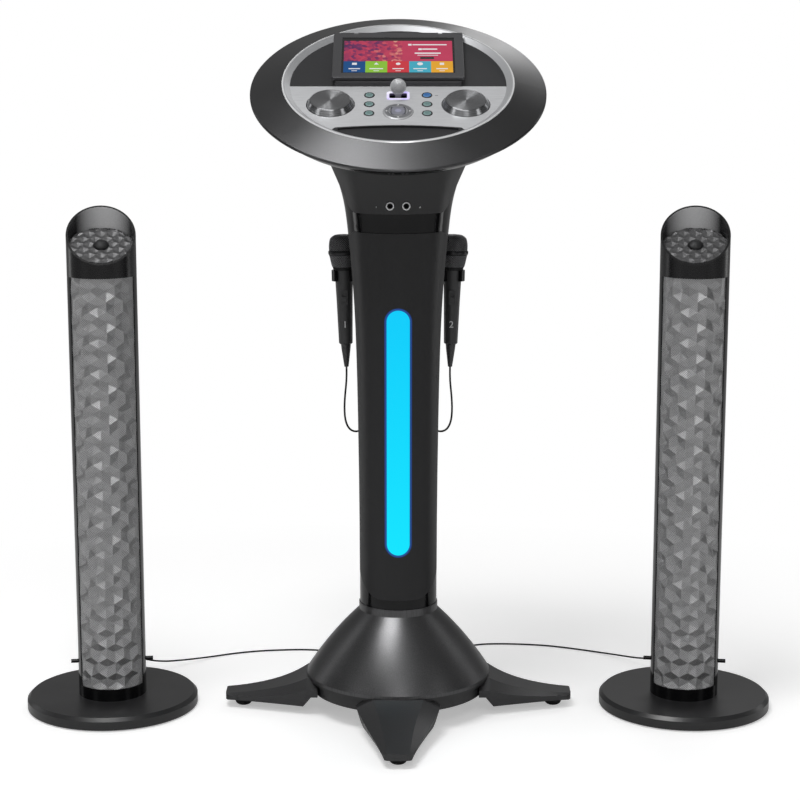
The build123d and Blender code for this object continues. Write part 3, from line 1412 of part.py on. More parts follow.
def build_nodes():
    nodes = {
        "base_hub": make_hub(),
        "legs": [Rot(0, 0, i * 360 / LEG_COUNT) * make_leg(tip_r) for i, tip_r in enumerate(leg_tips())],
        "rubber_feet": make_feet(),
        "leg_screws": [s for place in leg_screws() for s in each_leg(make_screw(place))],
        "base_cone": make_cone(),
        "support_tube": tube(TUBE_R, TUBE_R - TUBE_WALL, HUB_LOW_Z + 6, HEAD_Z) - above_bowl_floor(),
        "column_shell": make_column_shell(),
        "column_front": make_front_panel(),
        "light_window": make_light_window(),
        "jack_panel": make_bib(),
        "mic_jacks": [jack_place(side) * make_jack() for side in (-1, 1)],
        "mic_holders": [make_holder(side) for side in (-1, 1)],
        "head_bowl": make_bowl(),
        "brim": make_brim(),
        "trim_ring": make_trim_ring(),
        "deck_plate": make_deck_plate(),
        "control_plate": make_control_plate(),
        "cradle_insert": make_cradle(),
        "button_bezels": make_bezels(),
        "nav_ring": make_nav_ring(),
        "ok_button": make_ok_button(),
        "lever_frame": make_lever_frame(),
        "effect_lever": make_lever(),
        "screen_housing": make_lid_housing(),
        "screen_panel": make_screen_panel(),
        "disc_tray": make_disc_tray(),
        "disc_spindle": make_spindle(),
        "disc_pickup": make_pickup(),
        "circuit_boards": make_boards(),
        "rear_fittings": make_rear_fittings(),
        "cord_plugs": make_plugs(),
        "tower_drivers": [at_tower(side, solid) for side in (-1, 1) for solid in make_drivers()],
    }
    for name, side in SIDES.items():
        nodes["jog_" + name] = make_jog(side)
        for row, y in enumerate(BUTTON_ROWS, start=1):
            nodes[f"button_{name}_{row}"] = make_button(side * BUTTON_X, y)
        nodes["mic_head_" + name] = at_mic(side, make_mic_head())
        nodes["mic_body_" + name] = [at_mic(side, solid) for solid in make_mic_body()]
        nodes["mic_switch_" + name] = at_mic(side, make_mic_switch())
        nodes["tower_base_" + name] = at_tower(side, make_tower_base())
        nodes["tower_shell_" + name] = at_tower(side, make_tower_shell())
        nodes["tower_grilles_" + name] = [at_tower(side, solid) for solid in make_tower_grilles()]
        nodes["tower_cap_" + name] = at_tower(side, make_cap())
        nodes["mic_cord_" + name] = make_mic_cord("mic_cord_" + name, side)
        nodes["mic_coil_" + name] = make_coil(side)
    nodes["speaker_cord_left"] = make_speaker_cord("speaker_cord_left", -1, SPEAKER_LEFT)
    nodes["speaker_cord_right"] = make_speaker_cord("speaker_cord_right", 1, SPEAKER_RIGHT)
    return nodes


def solids_of(shape):
    pieces = shape if isinstance(shape, list) else [shape]
    return [solid for piece in pieces for solid in piece.solids()]


os.makedirs("parts", exist_ok=True)
for node, shape in build_nodes().items():
    solids = solids_of(shape)
    whole = solids[0] if len(solids) == 1 else Compound(children=solids)
    export_step(whole, f"parts/{node}.step")
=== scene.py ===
# %% [markdown]
# # Dressing a karaoke machine
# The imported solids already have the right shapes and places, so this lesson keeps them and adds
# what solids alone cannot show: finishes, woven wire, faceted grilles, cords, symbols and light.
# Everything is in metres. Up is +Z, and the front of the machine faces -Y.

# %% Load the solids
import bpy, bmesh, math
from mathutils import Matrix, Vector


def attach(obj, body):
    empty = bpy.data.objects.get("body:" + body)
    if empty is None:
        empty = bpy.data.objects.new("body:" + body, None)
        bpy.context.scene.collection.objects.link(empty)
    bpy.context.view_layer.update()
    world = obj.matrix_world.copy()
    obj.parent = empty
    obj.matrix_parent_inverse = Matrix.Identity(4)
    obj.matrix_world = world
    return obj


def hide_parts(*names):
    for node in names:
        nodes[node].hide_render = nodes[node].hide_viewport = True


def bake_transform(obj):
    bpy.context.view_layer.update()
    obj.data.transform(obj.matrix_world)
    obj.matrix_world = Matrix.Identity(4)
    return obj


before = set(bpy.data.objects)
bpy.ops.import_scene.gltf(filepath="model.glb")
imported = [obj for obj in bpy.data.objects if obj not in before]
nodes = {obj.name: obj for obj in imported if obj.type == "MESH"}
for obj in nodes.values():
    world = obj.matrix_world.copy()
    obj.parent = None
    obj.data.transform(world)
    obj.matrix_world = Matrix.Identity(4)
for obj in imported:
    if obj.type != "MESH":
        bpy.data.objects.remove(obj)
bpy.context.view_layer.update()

# %% [markdown]
# ## Left and right
# The machine is the same on both sides, so a place is written once, for the right side, and
# mirrored for the left.

# %% Sides and objects
SIDES = (("left", -1), ("right", 1))


def on_side(sign, place):
    """A place on the right side, or its mirror image on the left."""
    x, y, z = place
    return (sign * x, y, z)


def stand(name, data):
    """A new object at the origin."""
    thing = bpy.data.objects.new(name, data)
    bpy.context.scene.collection.objects.link(thing)
    return thing

# %% [markdown]
# ## Camera
# A long lens from chest height flattens the perspective, as a product shot does. It looks a
# little down, so that the sloping console shows its controls.

# %% Camera
LOOKING_DOWN = math.radians(10.4)
camera = stand("camera", bpy.data.cameras.new("camera"))
camera.data.lens = 90.0
camera.data.sensor_width = 36.0
camera.location = (0.0026, -2.9, 1.0)
camera.rotation_euler = (math.pi / 2 - LOOKING_DOWN, 0, 0)
camera.data.clip_end = 50
bpy.context.scene.camera = camera
bpy.context.scene.view_settings.view_transform = "Standard"

# %% [markdown]
# ## Node helpers
# A finish is a small net of nodes. Three helpers keep its recipe short: one feeds a node, one
# adds a node and feeds it, and one does the same and hands on what comes out first. The same
# three build the Geometry Nodes trees further down.

# %% Node helpers
def feed(tree, step, inputs):
    """Wire sockets into a node's inputs, and set the others to plain values."""
    for key, value in inputs.items():
        if isinstance(value, bpy.types.NodeSocket):
            tree.links.new(value, step.inputs[key])
        else:
            step.inputs[key].default_value = value


def put(tree, kind, inputs=None, **settings):
    """Add a node, set what it does, and feed it."""
    step = tree.nodes.new(kind)
    for key, value in settings.items():
        setattr(step, key, value)
    feed(tree, step, inputs or {})
    return step


def made(tree, kind, inputs=None, **settings):
    """Add a node in the same way, and hand on what comes out first."""
    return put(tree, kind, inputs, **settings).outputs[0]


def sum_of(tree, operation, one, two=0.0):
    """One arithmetic step."""
    return made(tree, "ShaderNodeMath", {0: one, 1: two}, operation=operation)


def times(tree, one, two):
    return sum_of(tree, "MULTIPLY", one, two)


def parts_of(tree, place):
    """The X, Y and Z of a vector."""
    return put(tree, "ShaderNodeSeparateXYZ", {0: place}).outputs


def vector(tree, x=0.0, y=0.0, z=0.0):
    """A vector from its three parts."""
    return made(tree, "ShaderNodeCombineXYZ", {"X": x, "Y": y, "Z": z})


def length_of(tree, arm):
    return put(tree, "ShaderNodeVectorMath", {0: arm}, operation="LENGTH").outputs["Value"]


def from_axis(tree, place):
    """How far a place is from the upright line through its origin."""
    part = parts_of(tree, place)
    return length_of(tree, vector(tree, part["X"], part["Y"]))

# %% [markdown]
# ## Colours and finishes
# A paint colour is written the way a paint shop writes it and turned into the linear light that
# a shader needs. Most moulded parts share one recipe: a little drift in the colour, a slow
# change in the gloss, and a fine grain that catches the light. Only its numbers change.

# %% Paint helpers
def paint(code):
    """A colour such as '2b2b2d' as linear red, green, blue and alpha."""
    channels = [int(code[i : i + 2], 16) / 255 for i in (0, 2, 4)]
    return tuple(c / 12.92 if c <= 0.04045 else ((c + 0.055) / 1.055) ** 2.4 for c in channels) + (1.0,)


def blank_finish(name):
    """A new finish, its tree and its shader."""
    material = bpy.data.materials.new(name)
    material.use_nodes = True
    tree = material.node_tree
    return material, tree, tree.nodes["Principled BSDF"]


def object_place(tree, scale=(1, 1, 1), location=(0, 0, 0), rotation=(0, 0, 0)):
    """Object coordinates, centred, turned and stretched by a Mapping node."""
    where = put(tree, "ShaderNodeTexCoord").outputs["Object"]
    return made(tree, "ShaderNodeMapping", {"Vector": where, "Location": location, "Rotation": rotation,
                                            "Scale": scale}, vector_type="TEXTURE")


def noise(tree, place, scale, detail=3.0):
    return put(tree, "ShaderNodeTexNoise", {"Vector": place, "Scale": scale, "Detail": detail}).outputs["Fac"]


def spread(tree, value, low, high, start=0.3, end=0.7):
    """Stretch the range from start to end over the range from low to high."""
    return made(tree, "ShaderNodeMapRange", {"Value": value, "From Min": start, "From Max": end,
                                             "To Min": low, "To Max": high})


def between(tree, value, one, two):
    """A colour between two others, each a paint code, four numbers or a socket."""
    one, two = (paint(tone) if isinstance(tone, str) else tone for tone in (one, two))
    mixed = put(tree, "ShaderNodeMix", {"Factor": value, "A": one, "B": two}, data_type="RGBA")
    return mixed.outputs["Result"]


def drifting(tree, value, one, two):
    """A colour that wanders between two others as a noise does."""
    return between(tree, spread(tree, value, 0, 1), one, two)


def ramp_of(tree, value, stops):
    """A colour that follows a list of places and paint codes."""
    ramp = put(tree, "ShaderNodeValToRGB", {"Fac": value})
    while len(ramp.color_ramp.elements) < len(stops):
        ramp.color_ramp.elements.new(0.5)
    for element, (position, code) in zip(ramp.color_ramp.elements, stops):
        element.position = position
        element.color = paint(code)
    return ramp.outputs["Color"]


def relief(tree, shader, value, depth):
    """A bump of the given depth in metres."""
    bump = made(tree, "ShaderNodeBump", {"Distance": depth, "Strength": 1.0, "Height": value})
    feed(tree, shader, {"Normal": bump})


def moulded(name, dark, light, rough, metallic=0.0, grain=900, depth=0.00002, stretch=(1, 1, 1), shine=0.5):
    """A moulded or brushed part: two close tones, gloss that drifts, and a fine grain."""
    material, tree, shader = blank_finish(name)
    fine = noise(tree, object_place(tree, stretch), grain)
    slow = noise(tree, object_place(tree), 9, 2)
    feed(tree, shader, {"Base Color": drifting(tree, fine, dark, light), "Metallic": metallic,
                        "Roughness": spread(tree, slow, *rough), "Specular IOR Level": shine})
    relief(tree, shader, fine, depth)
    return material


def dress(finish, *names):
    """Give solids a finish, in place of the one they came with."""
    for name in names:
        slots = nodes[name].data.materials
        slots.clear()
        slots.append(finish)

# %% [markdown]
# ## Cords
# A cord is a fixed length of something flexible, so it comes before the looks. Each is one
# NURBS spline of order three through a few control points: it stays smooth, rests on the floor
# and never kinks. The speaker cords leave the back of each tower, drop to the disc, cross the
# floor in a loose bend and come up into the hub.

# %% Cord helpers
BLACK_CORD = moulded("cord rubber", "0c0c0d", "161617", (0.42, 0.55), grain=1500, depth=0.00001)


def cord_line(name, points, diameter):
    """A round cord. Each point carries the real radius, so the line's box is no wider than it."""
    data = bpy.data.curves.new(name, "CURVE")
    data.dimensions = "3D"
    data.bevel_depth = 1.0
    data.bevel_resolution = 3
    data.resolution_u = 8
    data.use_fill_caps = True
    spline = data.splines.new("NURBS")
    spline.points.add(len(points) - 1)
    for spot, xyz in zip(spline.points, points):
        spot.co = (*xyz, 1.0)
        spot.radius = diameter / 2
    spline.order_u = 3
    spline.use_endpoint_u = True
    data.materials.append(BLACK_CORD)
    return stand(name, data)


def baked(thing):
    """The plain mesh that an object's curve or modifiers make."""
    bpy.context.view_layer.update()
    return bpy.data.meshes.new_from_object(thing.evaluated_get(bpy.context.evaluated_depsgraph_get()))


def centre_line(cord):
    """The points of the smooth line, read with the thickness switched off."""
    thick, cord.data.bevel_depth = cord.data.bevel_depth, 0
    points = [v.co.copy() for v in baked(cord).vertices]
    cord.data.bevel_depth = thick
    bpy.context.view_layer.update()
    return points


def path_length(points):
    return sum((b - a).length for a, b in zip(points, points[1:]))

# %% Speaker cords
SPEAKER_CORD = 0.0028
LEFT_ROUTE = [
    (-0.44304, 0.07853, 0.046), (-0.44554, 0.09635, 0.046), (-0.449, 0.116, 0.043), (-0.4415, 0.137, 0.0355),
    (-0.422, 0.150, 0.0265), (-0.397, 0.1555, 0.0186), (-0.375, 0.1635, 0.0136), (-0.352, 0.1795, 0.0102),
    (-0.3285, 0.200, 0.0064), (-0.303, 0.2245, 0.0022), (-0.272, 0.243, 0.00145), (-0.235, 0.256, 0.00145),
    (-0.198, 0.2623, 0.00145), (-0.161, 0.2652, 0.00145), (-0.129, 0.262, 0.00145), (-0.105, 0.2465, 0.00145),
    (-0.097, 0.221, 0.00145), (-0.1025, 0.197, 0.003), (-0.114, 0.1765, 0.011), (-0.1235, 0.1585, 0.024),
    (-0.128, 0.140, 0.0355), (-0.12289, 0.12289, 0.040), (-0.11016, 0.11016, 0.040),
]
RIGHT_ROUTE = [
    (0.44304, 0.07853, 0.046), (0.44554, 0.09635, 0.046), (0.4495, 0.117, 0.043), (0.442, 0.141, 0.0345),
    (0.426, 0.158, 0.025), (0.4075, 0.167, 0.0176), (0.388, 0.181, 0.0134), (0.372, 0.203, 0.0088),
    (0.357, 0.2255, 0.0046), (0.336, 0.244, 0.0022), (0.309, 0.260, 0.00145), (0.277, 0.275, 0.00145),
    (0.243, 0.2875, 0.00145), (0.207, 0.294, 0.00145), (0.170, 0.297, 0.00145), (0.136, 0.2945, 0.00145),
    (0.110, 0.2805, 0.00145), (0.0985, 0.2555, 0.00145), (0.0995, 0.229, 0.00145), (0.1065, 0.205, 0.0028),
    (0.117, 0.185, 0.011), (0.1225, 0.167, 0.022), (0.121, 0.149, 0.033), (0.11299, 0.13279, 0.040),
    (0.10027, 0.12007, 0.040),
]
for side, route in (("left", LEFT_ROUTE), ("right", RIGHT_ROUTE)):
    lead = cord_line("speaker_lead_" + side, route, SPEAKER_CORD)
    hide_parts("speaker_cord_" + side)
    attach(lead, "console")
    length = path_length(centre_line(lead))
    print(lead.name, "length", round(length, 4))

# %% [markdown]
# Each microphone's lead hangs in a loop from its boot to a hook behind the column. The spare
# cord is wound there into a ring of turns, and its plug hangs below. The turns fill a round
# bundle column by column, a diameter apart, so they lie beside each other and not in each other.

# %% Microphone cords
MIC_CORD = 0.003
COIL_CENTRE = Vector((0.030, 0.073, 0.445))
COIL_RADIUS = 0.018
TURN_POINTS = 14
CHANGE_FROM = 0.7           # each turn moves over to the next one's place in its last three tenths
TURNS = [
    (0.0, -6.0), (2.6, -4.5), (-2.6, -4.5), (-5.2, -3.0), (0.0, -3.0), (5.2, -3.0), (2.6, -1.5), (-2.6, -1.5),
    (-5.2, 0.0), (0.0, 0.0), (5.2, 0.0), (2.6, 1.5), (-2.6, 1.5), (-5.2, 3.0), (0.0, 3.0), (5.2, 3.0),
    (2.6, 4.5), (-2.6, 4.5), (0.0, 6.0),
]
MIC_START = [
    (0.07736, 0.050, 0.50954), (0.07695, 0.050, 0.49154), (0.0799, 0.0503, 0.466), (0.081, 0.0508, 0.4435),
    (0.0794, 0.0525, 0.4245), (0.0726, 0.056, 0.411), (0.061, 0.0605, 0.4076), (0.052, 0.0645, 0.4135),
    (0.0482, 0.0668, 0.4275),
]
MIC_FINISH = [
    (0.0125, 0.079, 0.4385), (0.0150, 0.079, 0.4320), (0.0190, 0.0787, 0.4250), (0.0207, 0.078, 0.4165),
    (0.021, 0.076, 0.4070), (0.021, 0.0735, 0.3975), (0.021, 0.073, 0.3884),
]


def coil_points(sign):
    """Points round the hook, one turn after another."""
    swell = 1 / math.cos(math.pi / TURN_POINTS) ** 0.7      # a spline runs inside its control points
    points = []
    total = len(TURNS) * TURN_POINTS
    for step in range(total - TURN_POINTS // 2):
        turn, share = divmod(step / TURN_POINTS, 1.0)
        here, after = TURNS[int(turn)], TURNS[min(int(turn) + 1, len(TURNS) - 1)]
        slide = max(0.0, (share - CHANGE_FROM) / 0.3)
        out, deep = (a + (b - a) * slide for a, b in zip(here, after))
        angle = 2 * math.pi * share
        radius = (COIL_RADIUS + out / 1000) * swell
        points.append((sign * (COIL_CENTRE.x + radius * math.cos(angle)), COIL_CENTRE.y + deep / 1000,
                       COIL_CENTRE.z + radius * math.sin(angle)))
    return points


for side, sign in SIDES:
    start = [on_side(sign, place) for place in MIC_START]
    finish = [on_side(sign, place) for place in MIC_FINISH]
    line = cord_line("microphone_line_" + side, start + coil_points(sign) + finish, MIC_CORD)
    line.data.resolution_u = 3
    path = centre_line(line)
    lead = stand("microphone_lead_" + side, baked(line))
    bpy.data.objects.remove(line)
    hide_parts("mic_cord_" + side, "mic_coil_" + side)
    length = path_length(path)
    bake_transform(lead)
    print(lead.name, "length", round(length, 3), "turns", len(TURNS))

# %% [markdown]
# ## Finishes of the moulded parts
# The real machine mixes a few plastics: polished black on the column, the tower caps and the
# foot rings; satin black on the legs and discs; a matte skin on the front panel; a dark satin
# rim and deck; and silver-painted plastic under the controls.

# %% Black and dark plastics
GLOSS_BLACK = moulded("gloss black plastic", "08080a", "0e0e0f", (0.07, 0.13), grain=240, depth=0.000004,
                      shine=0.28)
SATIN_BLACK = moulded("satin black plastic", "1d1d1e", "252526", (0.30, 0.40), grain=1300, depth=0.00003)
MATTE_SKIN = moulded("matte front skin", "1f1f20", "262627", (0.38, 0.48), grain=1600)
RIM_PAINT = moulded("rim paint", "4a4a4b", "555556", (0.28, 0.36), metallic=0.9, grain=1400)
DECK_PAINT = moulded("deck paint", "2c2c2e", "363638", (0.36, 0.46), metallic=0.4, grain=1600)
RUBBER = moulded("foot rubber", "101010", "1a1a1a", (0.75, 0.9), grain=700, depth=0.00008)
FRAME_BLACK = moulded("screen frame plastic", "474749", "525254", (0.34, 0.44), metallic=0.5, grain=1500)
LEG_PAINT = moulded("leg casting", "3a3a3b", "464647", (0.36, 0.46), metallic=0.55, grain=1300, depth=0.00003)
CONE_PAPER = moulded("loudspeaker cone", "161616", "202020", (0.6, 0.75), grain=500, depth=0.0001)
dress(GLOSS_BLACK, "column_shell", "mic_holders", "head_bowl", "tower_shell_left", "tower_shell_right")
dress(SATIN_BLACK, "base_hub", "rear_fittings", "cord_plugs", "button_bezels", "tower_base_left",
      "tower_base_right")
dress(LEG_PAINT, "legs")
dress(MATTE_SKIN, "jack_panel")
dress(RIM_PAINT, "brim")
dress(DECK_PAINT, "deck_plate", "cradle_insert")
dress(FRAME_BLACK, "screen_housing", "disc_tray", "disc_spindle", "disc_pickup")
dress(RUBBER, "rubber_feet")
dress(CONE_PAPER, "tower_drivers")

# %% [markdown]
# A tower's cap is polished black outside and over its lip. Its inner wall carries a painted sheen,
# a painted reflection that is light grey at the back and fades to black round to the sides. The
# finish tells the two apart by the distance from the tower's axis, and reads how far round the wall
# a place is from the same vector.

# %% Tower caps
TOWER_ASIDE = 0.432
TOWER_TURN = math.radians(8)
TOWERS = {side: Matrix.Translation((sign * TOWER_ASIDE, 0, 0)) @ Matrix.Rotation(-sign * TOWER_TURN, 4, "Z")
          for side, sign in SIDES}
CAP_WALL = (0.0476, 0.0480)         # the inner wall ends and the lip begins between these radii
CAP_PAINTED_SHEEN = (0.026, 0.0478)          # how far back the wall starts to lighten, and where it is lightest


def cap_painted_sheen(name, axis):
    """Black outside a tower's cap, with a painted sheen of grey inside it."""
    material, tree, shader = blank_finish(name)
    place = object_place(tree, location=axis)
    inner = spread(tree, from_axis(tree, place), 1, 0, *CAP_WALL)
    # painted sheen: the wall is painted light grey towards the back and black to the sides, standing in for
    # reflected light
    painted_sheen = spread(tree, parts_of(tree, place)["Y"], 0, 1, *CAP_PAINTED_SHEEN)
    wall = between(tree, painted_sheen, "101011", "b2b2b3")
    feed(tree, shader, {"Base Color": between(tree, inner, "121213", wall),
                        "Roughness": spread(tree, noise(tree, place, 900), 0.24, 0.30)})
    return material


for side, sign in SIDES:
    dress(cap_painted_sheen("cap black with painted sheen " + side, (sign * TOWER_ASIDE, 0, 0)), "tower_cap_" + side)

# %% [markdown]
# The cone over the legs is painted a dark metallic and was buffed from top to bottom, so its
# grain runs down the slope. Stretching the noise along Z gives those long streaks. The control
# plate is buffed from side to side in the same way.

# %% Buffed paints
CONE_PAINT = moulded("cone paint", "505051", "616162", (0.30, 0.40), metallic=0.9, grain=1200,
                     depth=0.00003, stretch=(1, 1, 30))
CONTROL_SILVER = moulded("control plate silver", "b9babc", "cbccce", (0.36, 0.46), metallic=0.35, grain=1500,
                         stretch=(40, 1, 1))
STEEL = moulded("screw steel", "77787a", "98999b", (0.25, 0.4), metallic=1.0)
SWITCH_GREY = moulded("switch plastic", "39393a", "454546", (0.35, 0.45), grain=1200)
BOARD_GREEN = moulded("circuit board", "0f3d22", "17502f", (0.4, 0.5), grain=400)
dress(CONE_PAINT, "base_cone")
dress(CONTROL_SILVER, "control_plate")
dress(STEEL, "leg_screws", "support_tube")
dress(SWITCH_GREY, "mic_switch_left", "mic_switch_right")
dress(BOARD_GREEN, "circuit_boards")

# %% [markdown]
# ## Trim ring
# The ring round the deck is bright-plated. Its flat top edge carries a painted highlight, while the
# wall that slopes down to the deck is painted greyer, as a painted reflection of the dark plate. The
# finish finds the edge by its distance from the ring's axis, so the coordinates are first turned into
# the tilt of the console.

# %% Places on the tilted console
TILT = math.radians(28.63)
CONSOLE = Matrix.Translation((0, 0, 0.9329)) @ Matrix.Rotation(TILT, 4, "X")
JOG_CENTRE = (0.0957, -0.0572, 0.0025)
LEVER_Y = -0.0333
RING_Y = -0.0772
RING_RADIUS = 0.0211


def console_place(tree, centre=(0, 0, 0)):
    """Object coordinates in the console's own frame, about a centre."""
    return object_place(tree, location=tuple(CONSOLE @ Vector(centre)), rotation=(TILT, 0, 0))

# %% Plated ring
RING_EDGE = (0.1646, 0.1651)        # the sloping wall ends and the flat edge begins between these radii


def painted_glint_ring():
    """A painted highlight on the flat edge and a greyer painted reflection on the slope."""
    material, tree, shader = blank_finish("plated ring with painted glint")
    place = console_place(tree)
    # painted highlight: the flat edge is painted near white and the slope greyer, standing in for reflected
    # light
    edge = spread(tree, from_axis(tree, place), 0, 1, *RING_EDGE)
    feed(tree, shader, {"Base Color": between(tree, edge, "a9aaac", "f4f5f6"), "Metallic": 0.4,
                        "Roughness": spread(tree, edge, 0.42, 0.2, 0, 1)})
    relief(tree, shader, noise(tree, place, 700), 0.000006)
    return material


dress(painted_glint_ring(), "trim_ring")

# %% [markdown]
# ## Jog wheels
# A jog wheel's top is turned on a lathe: fine circular grooves that throw two bright fans from
# the centre. An anisotropic shader does that by itself once it knows which way the grooves run.
# A turned face stretches each highlight along the arm from its centre, across the grooves.

# %% Turned metal
def turned_metal(name, centre, tones, rough):
    """Circular grooves about a centre, with highlights that fan out from it."""
    material, tree, shader = blank_finish(name)
    radius = from_axis(tree, console_place(tree, centre))
    rings = made(tree, "ShaderNodeTexNoise", {"W": radius, "Scale": 2600, "Detail": 2}, noise_dimensions="1D")
    where = put(tree, "ShaderNodeTexCoord").outputs["Object"]
    middle = tuple(CONSOLE @ Vector(centre))
    arm = made(tree, "ShaderNodeVectorMath", {0: where, 1: middle}, operation="SUBTRACT")
    tangent = made(tree, "ShaderNodeVectorTransform", {"Vector": arm}, vector_type="VECTOR",
                   convert_from="OBJECT", convert_to="WORLD")
    feed(tree, shader, {"Base Color": drifting(tree, rings, *tones), "Roughness": spread(tree, rings, *rough),
                        "Metallic": 1.0, "Anisotropic": 0.9, "Tangent": tangent})
    relief(tree, shader, rings, 0.000008)
    return material


for side, sign in SIDES:
    hub = on_side(sign, JOG_CENTRE)
    dress(turned_metal("jog metal " + side, hub, ("7f8082", "b9babc"), (0.2, 0.34)), "jog_" + side)

# %% [markdown]
# ## Buttons, ring, lever and jacks
# The small caps are tinted plastic, with a painted lighter rim that stands in for the light shining
# through from below. The lit frame round the lever and the light bar glow by themselves.

# %% Small controls
BUTTON_ASIDE, BUTTON_TOP = 0.0409, -0.0043
BUTTON_ROWS = ((1, -0.0318), (2, -0.0566), (3, -0.0812))
BUTTONS = {(side, row): (sign * BUTTON_ASIDE, y, BUTTON_TOP)
           for side, sign in SIDES for row, y in BUTTON_ROWS}
CAP_RIM = (0.0034, 0.0052)          # a cap's middle ends and its lit rim begins between these radii


def cap_finish(name, centre, middle, rim):
    """A tinted cap with a rim of another shade."""
    material, tree, shader = blank_finish(name)
    place = console_place(tree, centre)
    # painted light: the lighter rim tone on the small caps stands in for light shining through from below
    edge = spread(tree, from_axis(tree, place), 0, 1, *CAP_RIM)
    feed(tree, shader, {"Base Color": between(tree, edge, middle, rim), "Coat Weight": 0.3,
                        "Roughness": spread(tree, noise(tree, place, 1200), 0.25, 0.4)})
    return material


for (side, row), centre in BUTTONS.items():
    tones = ("2d5f98", "5a8cc0") if (side, row) == ("right", 1) else ("5f7a78", "86a09f")
    dress(cap_finish("cap {} {}".format(side, row), centre, *tones), "button_{}_{}".format(side, row))


def ring_finish():
    """Two silvery bands with a dark groove between them, as on a click wheel."""
    material, tree, shader = blank_finish("navigation ring")
    place = console_place(tree, (0, RING_Y, 0))
    bands = ramp_of(tree, spread(tree, from_axis(tree, place), 0, 1, 0.0, RING_RADIUS), [
        (0.60, "8f9094"), (0.655, "a6a7ab"), (0.67, "4a4a4e"), (0.70, "78797c"), (0.90, "86878a"),
        (0.94, "c4c5c7")])
    feed(tree, shader, {"Base Color": bands, "Metallic": 0.5,
                        "Roughness": spread(tree, noise(tree, place, 1500), 0.3, 0.42)})
    return material


dress(ring_finish(), "nav_ring")
dress(cap_finish("centre button", (0, RING_Y, 0), "8f90a4", "74757f"), "ok_button")

SOCKET_AXIS = (0.0115, 0.760, 0)    # how far aside and how high
NUT_HOLE = (0.0040, 0.0043)         # the bore ends and the nut begins between these radii


def socket_finish():
    """Bright nuts round black bores, by the distance from each socket's axis."""
    material, tree, shader = blank_finish("socket chrome")
    place = object_place(tree)
    part = parts_of(tree, place)
    face = vector(tree, sum_of(tree, "ABSOLUTE", part["X"]), part["Z"])
    away = put(tree, "ShaderNodeVectorMath", {0: face, 1: SOCKET_AXIS}, operation="DISTANCE").outputs["Value"]
    nut = spread(tree, away, 0, 1, *NUT_HOLE)
    feed(tree, shader, {"Base Color": between(tree, nut, "060606", "f2f2f3"), "Metallic": 0.3,
                        "Roughness": spread(tree, noise(tree, place, 300), 0.25, 0.35)})
    return material


dress(socket_finish(), "mic_jacks")


def glow(name, colour, strength, base="101010"):
    """A finish that shines by itself."""
    material, tree, shader = blank_finish(name)
    feed(tree, shader, {"Base Color": paint(base), "Emission Color": paint(colour), "Roughness": 0.45,
                        "Emission Strength": strength, "Specular IOR Level": 0.2})
    return material, tree, shader


def lit_frame():
    """Pale violet light along the top of the lever's frame, and a dark body below it."""
    material, tree, shader = glow("lit lever frame", "d9ccff", 1.0, "3a3644")
    place = console_place(tree, (0, LEVER_Y, 0))
    height = spread(tree, parts_of(tree, place)["Z"], 0, 1, -0.0064, -0.0054)
    light = drifting(tree, noise(tree, place, 60), "b8a6ff", "ffffff")
    feed(tree, shader, {"Emission Color": between(tree, height, "2b2738", light)})
    return material


dress(lit_frame(), "lever_frame")

# %% [markdown]
# ## Light bar
# The window on the column is a clear lens over a strip of blue lamps. It is brightest along its
# middle, deepens to a darker blue at its border, and gets a little greener towards its foot.

# %% Light bar
WINDOW_LINE = {"Min": 0.2635, "Max": 0.5928}        # the heights where its middle line starts and ends
WINDOW_HEIGHTS = (0.25, 0.61)                       # the colour changes from one to the other
LAMP_EDGE = (0.0162, 0.0172)                        # the lamps end and their dark border begins
LIT_EDGE = (0.0190, 0.0202)                         # the lit line on the panel fades out


def from_window_line(tree, place):
    """The distance from the upright middle line of the window."""
    part = parts_of(tree, place)
    nearest = made(tree, "ShaderNodeClamp", {"Value": part["Z"], **WINDOW_LINE})
    return length_of(tree, vector(tree, part["X"], sum_of(tree, "SUBTRACT", part["Z"], nearest)))


def light_bar():
    """Bright blue, a little greener at the foot, with a dark blue border."""
    material, tree, shader = glow("light bar", "00b8ff", 1.0, "02060a")
    place = object_place(tree)
    height = spread(tree, parts_of(tree, place)["Z"], 0, 1, *WINDOW_HEIGHTS)
    lamps = between(tree, height, "00e4ff", "00ccfb")
    rim = spread(tree, from_window_line(tree, place), 0, 1, *LAMP_EDGE)
    feed(tree, shader, {"Emission Color": between(tree, rim, lamps, "0a3a86")})
    return material


def front_skin():
    """The matte front, with a thin line of deep blue where the lamps light the window's edge."""
    material, tree, shader = blank_finish("matte front with lit edge")
    place = object_place(tree)
    grain = noise(tree, place, 1600)
    away = from_window_line(tree, place)
    feed(tree, shader, {"Base Color": drifting(tree, grain, "242425", "2b2b2c"), "Specular IOR Level": 0.26,
                        "Roughness": spread(tree, grain, 0.34, 0.44), "Emission Color": paint("0a3f8c"),
                        "Emission Strength": spread(tree, away, 1, 0, *LIT_EDGE)})
    relief(tree, shader, grain, 0.00002)
    return material


dress(light_bar(), "light_window")
dress(front_skin(), "column_front")

# %% [markdown]
# ## Geometry Nodes toolbox
# Whatever repeats is grown by a small tree: the tree holds the rule, and its named inputs hold
# the sizes. The result is turned into a plain mesh at once, so nothing is left to compute later.

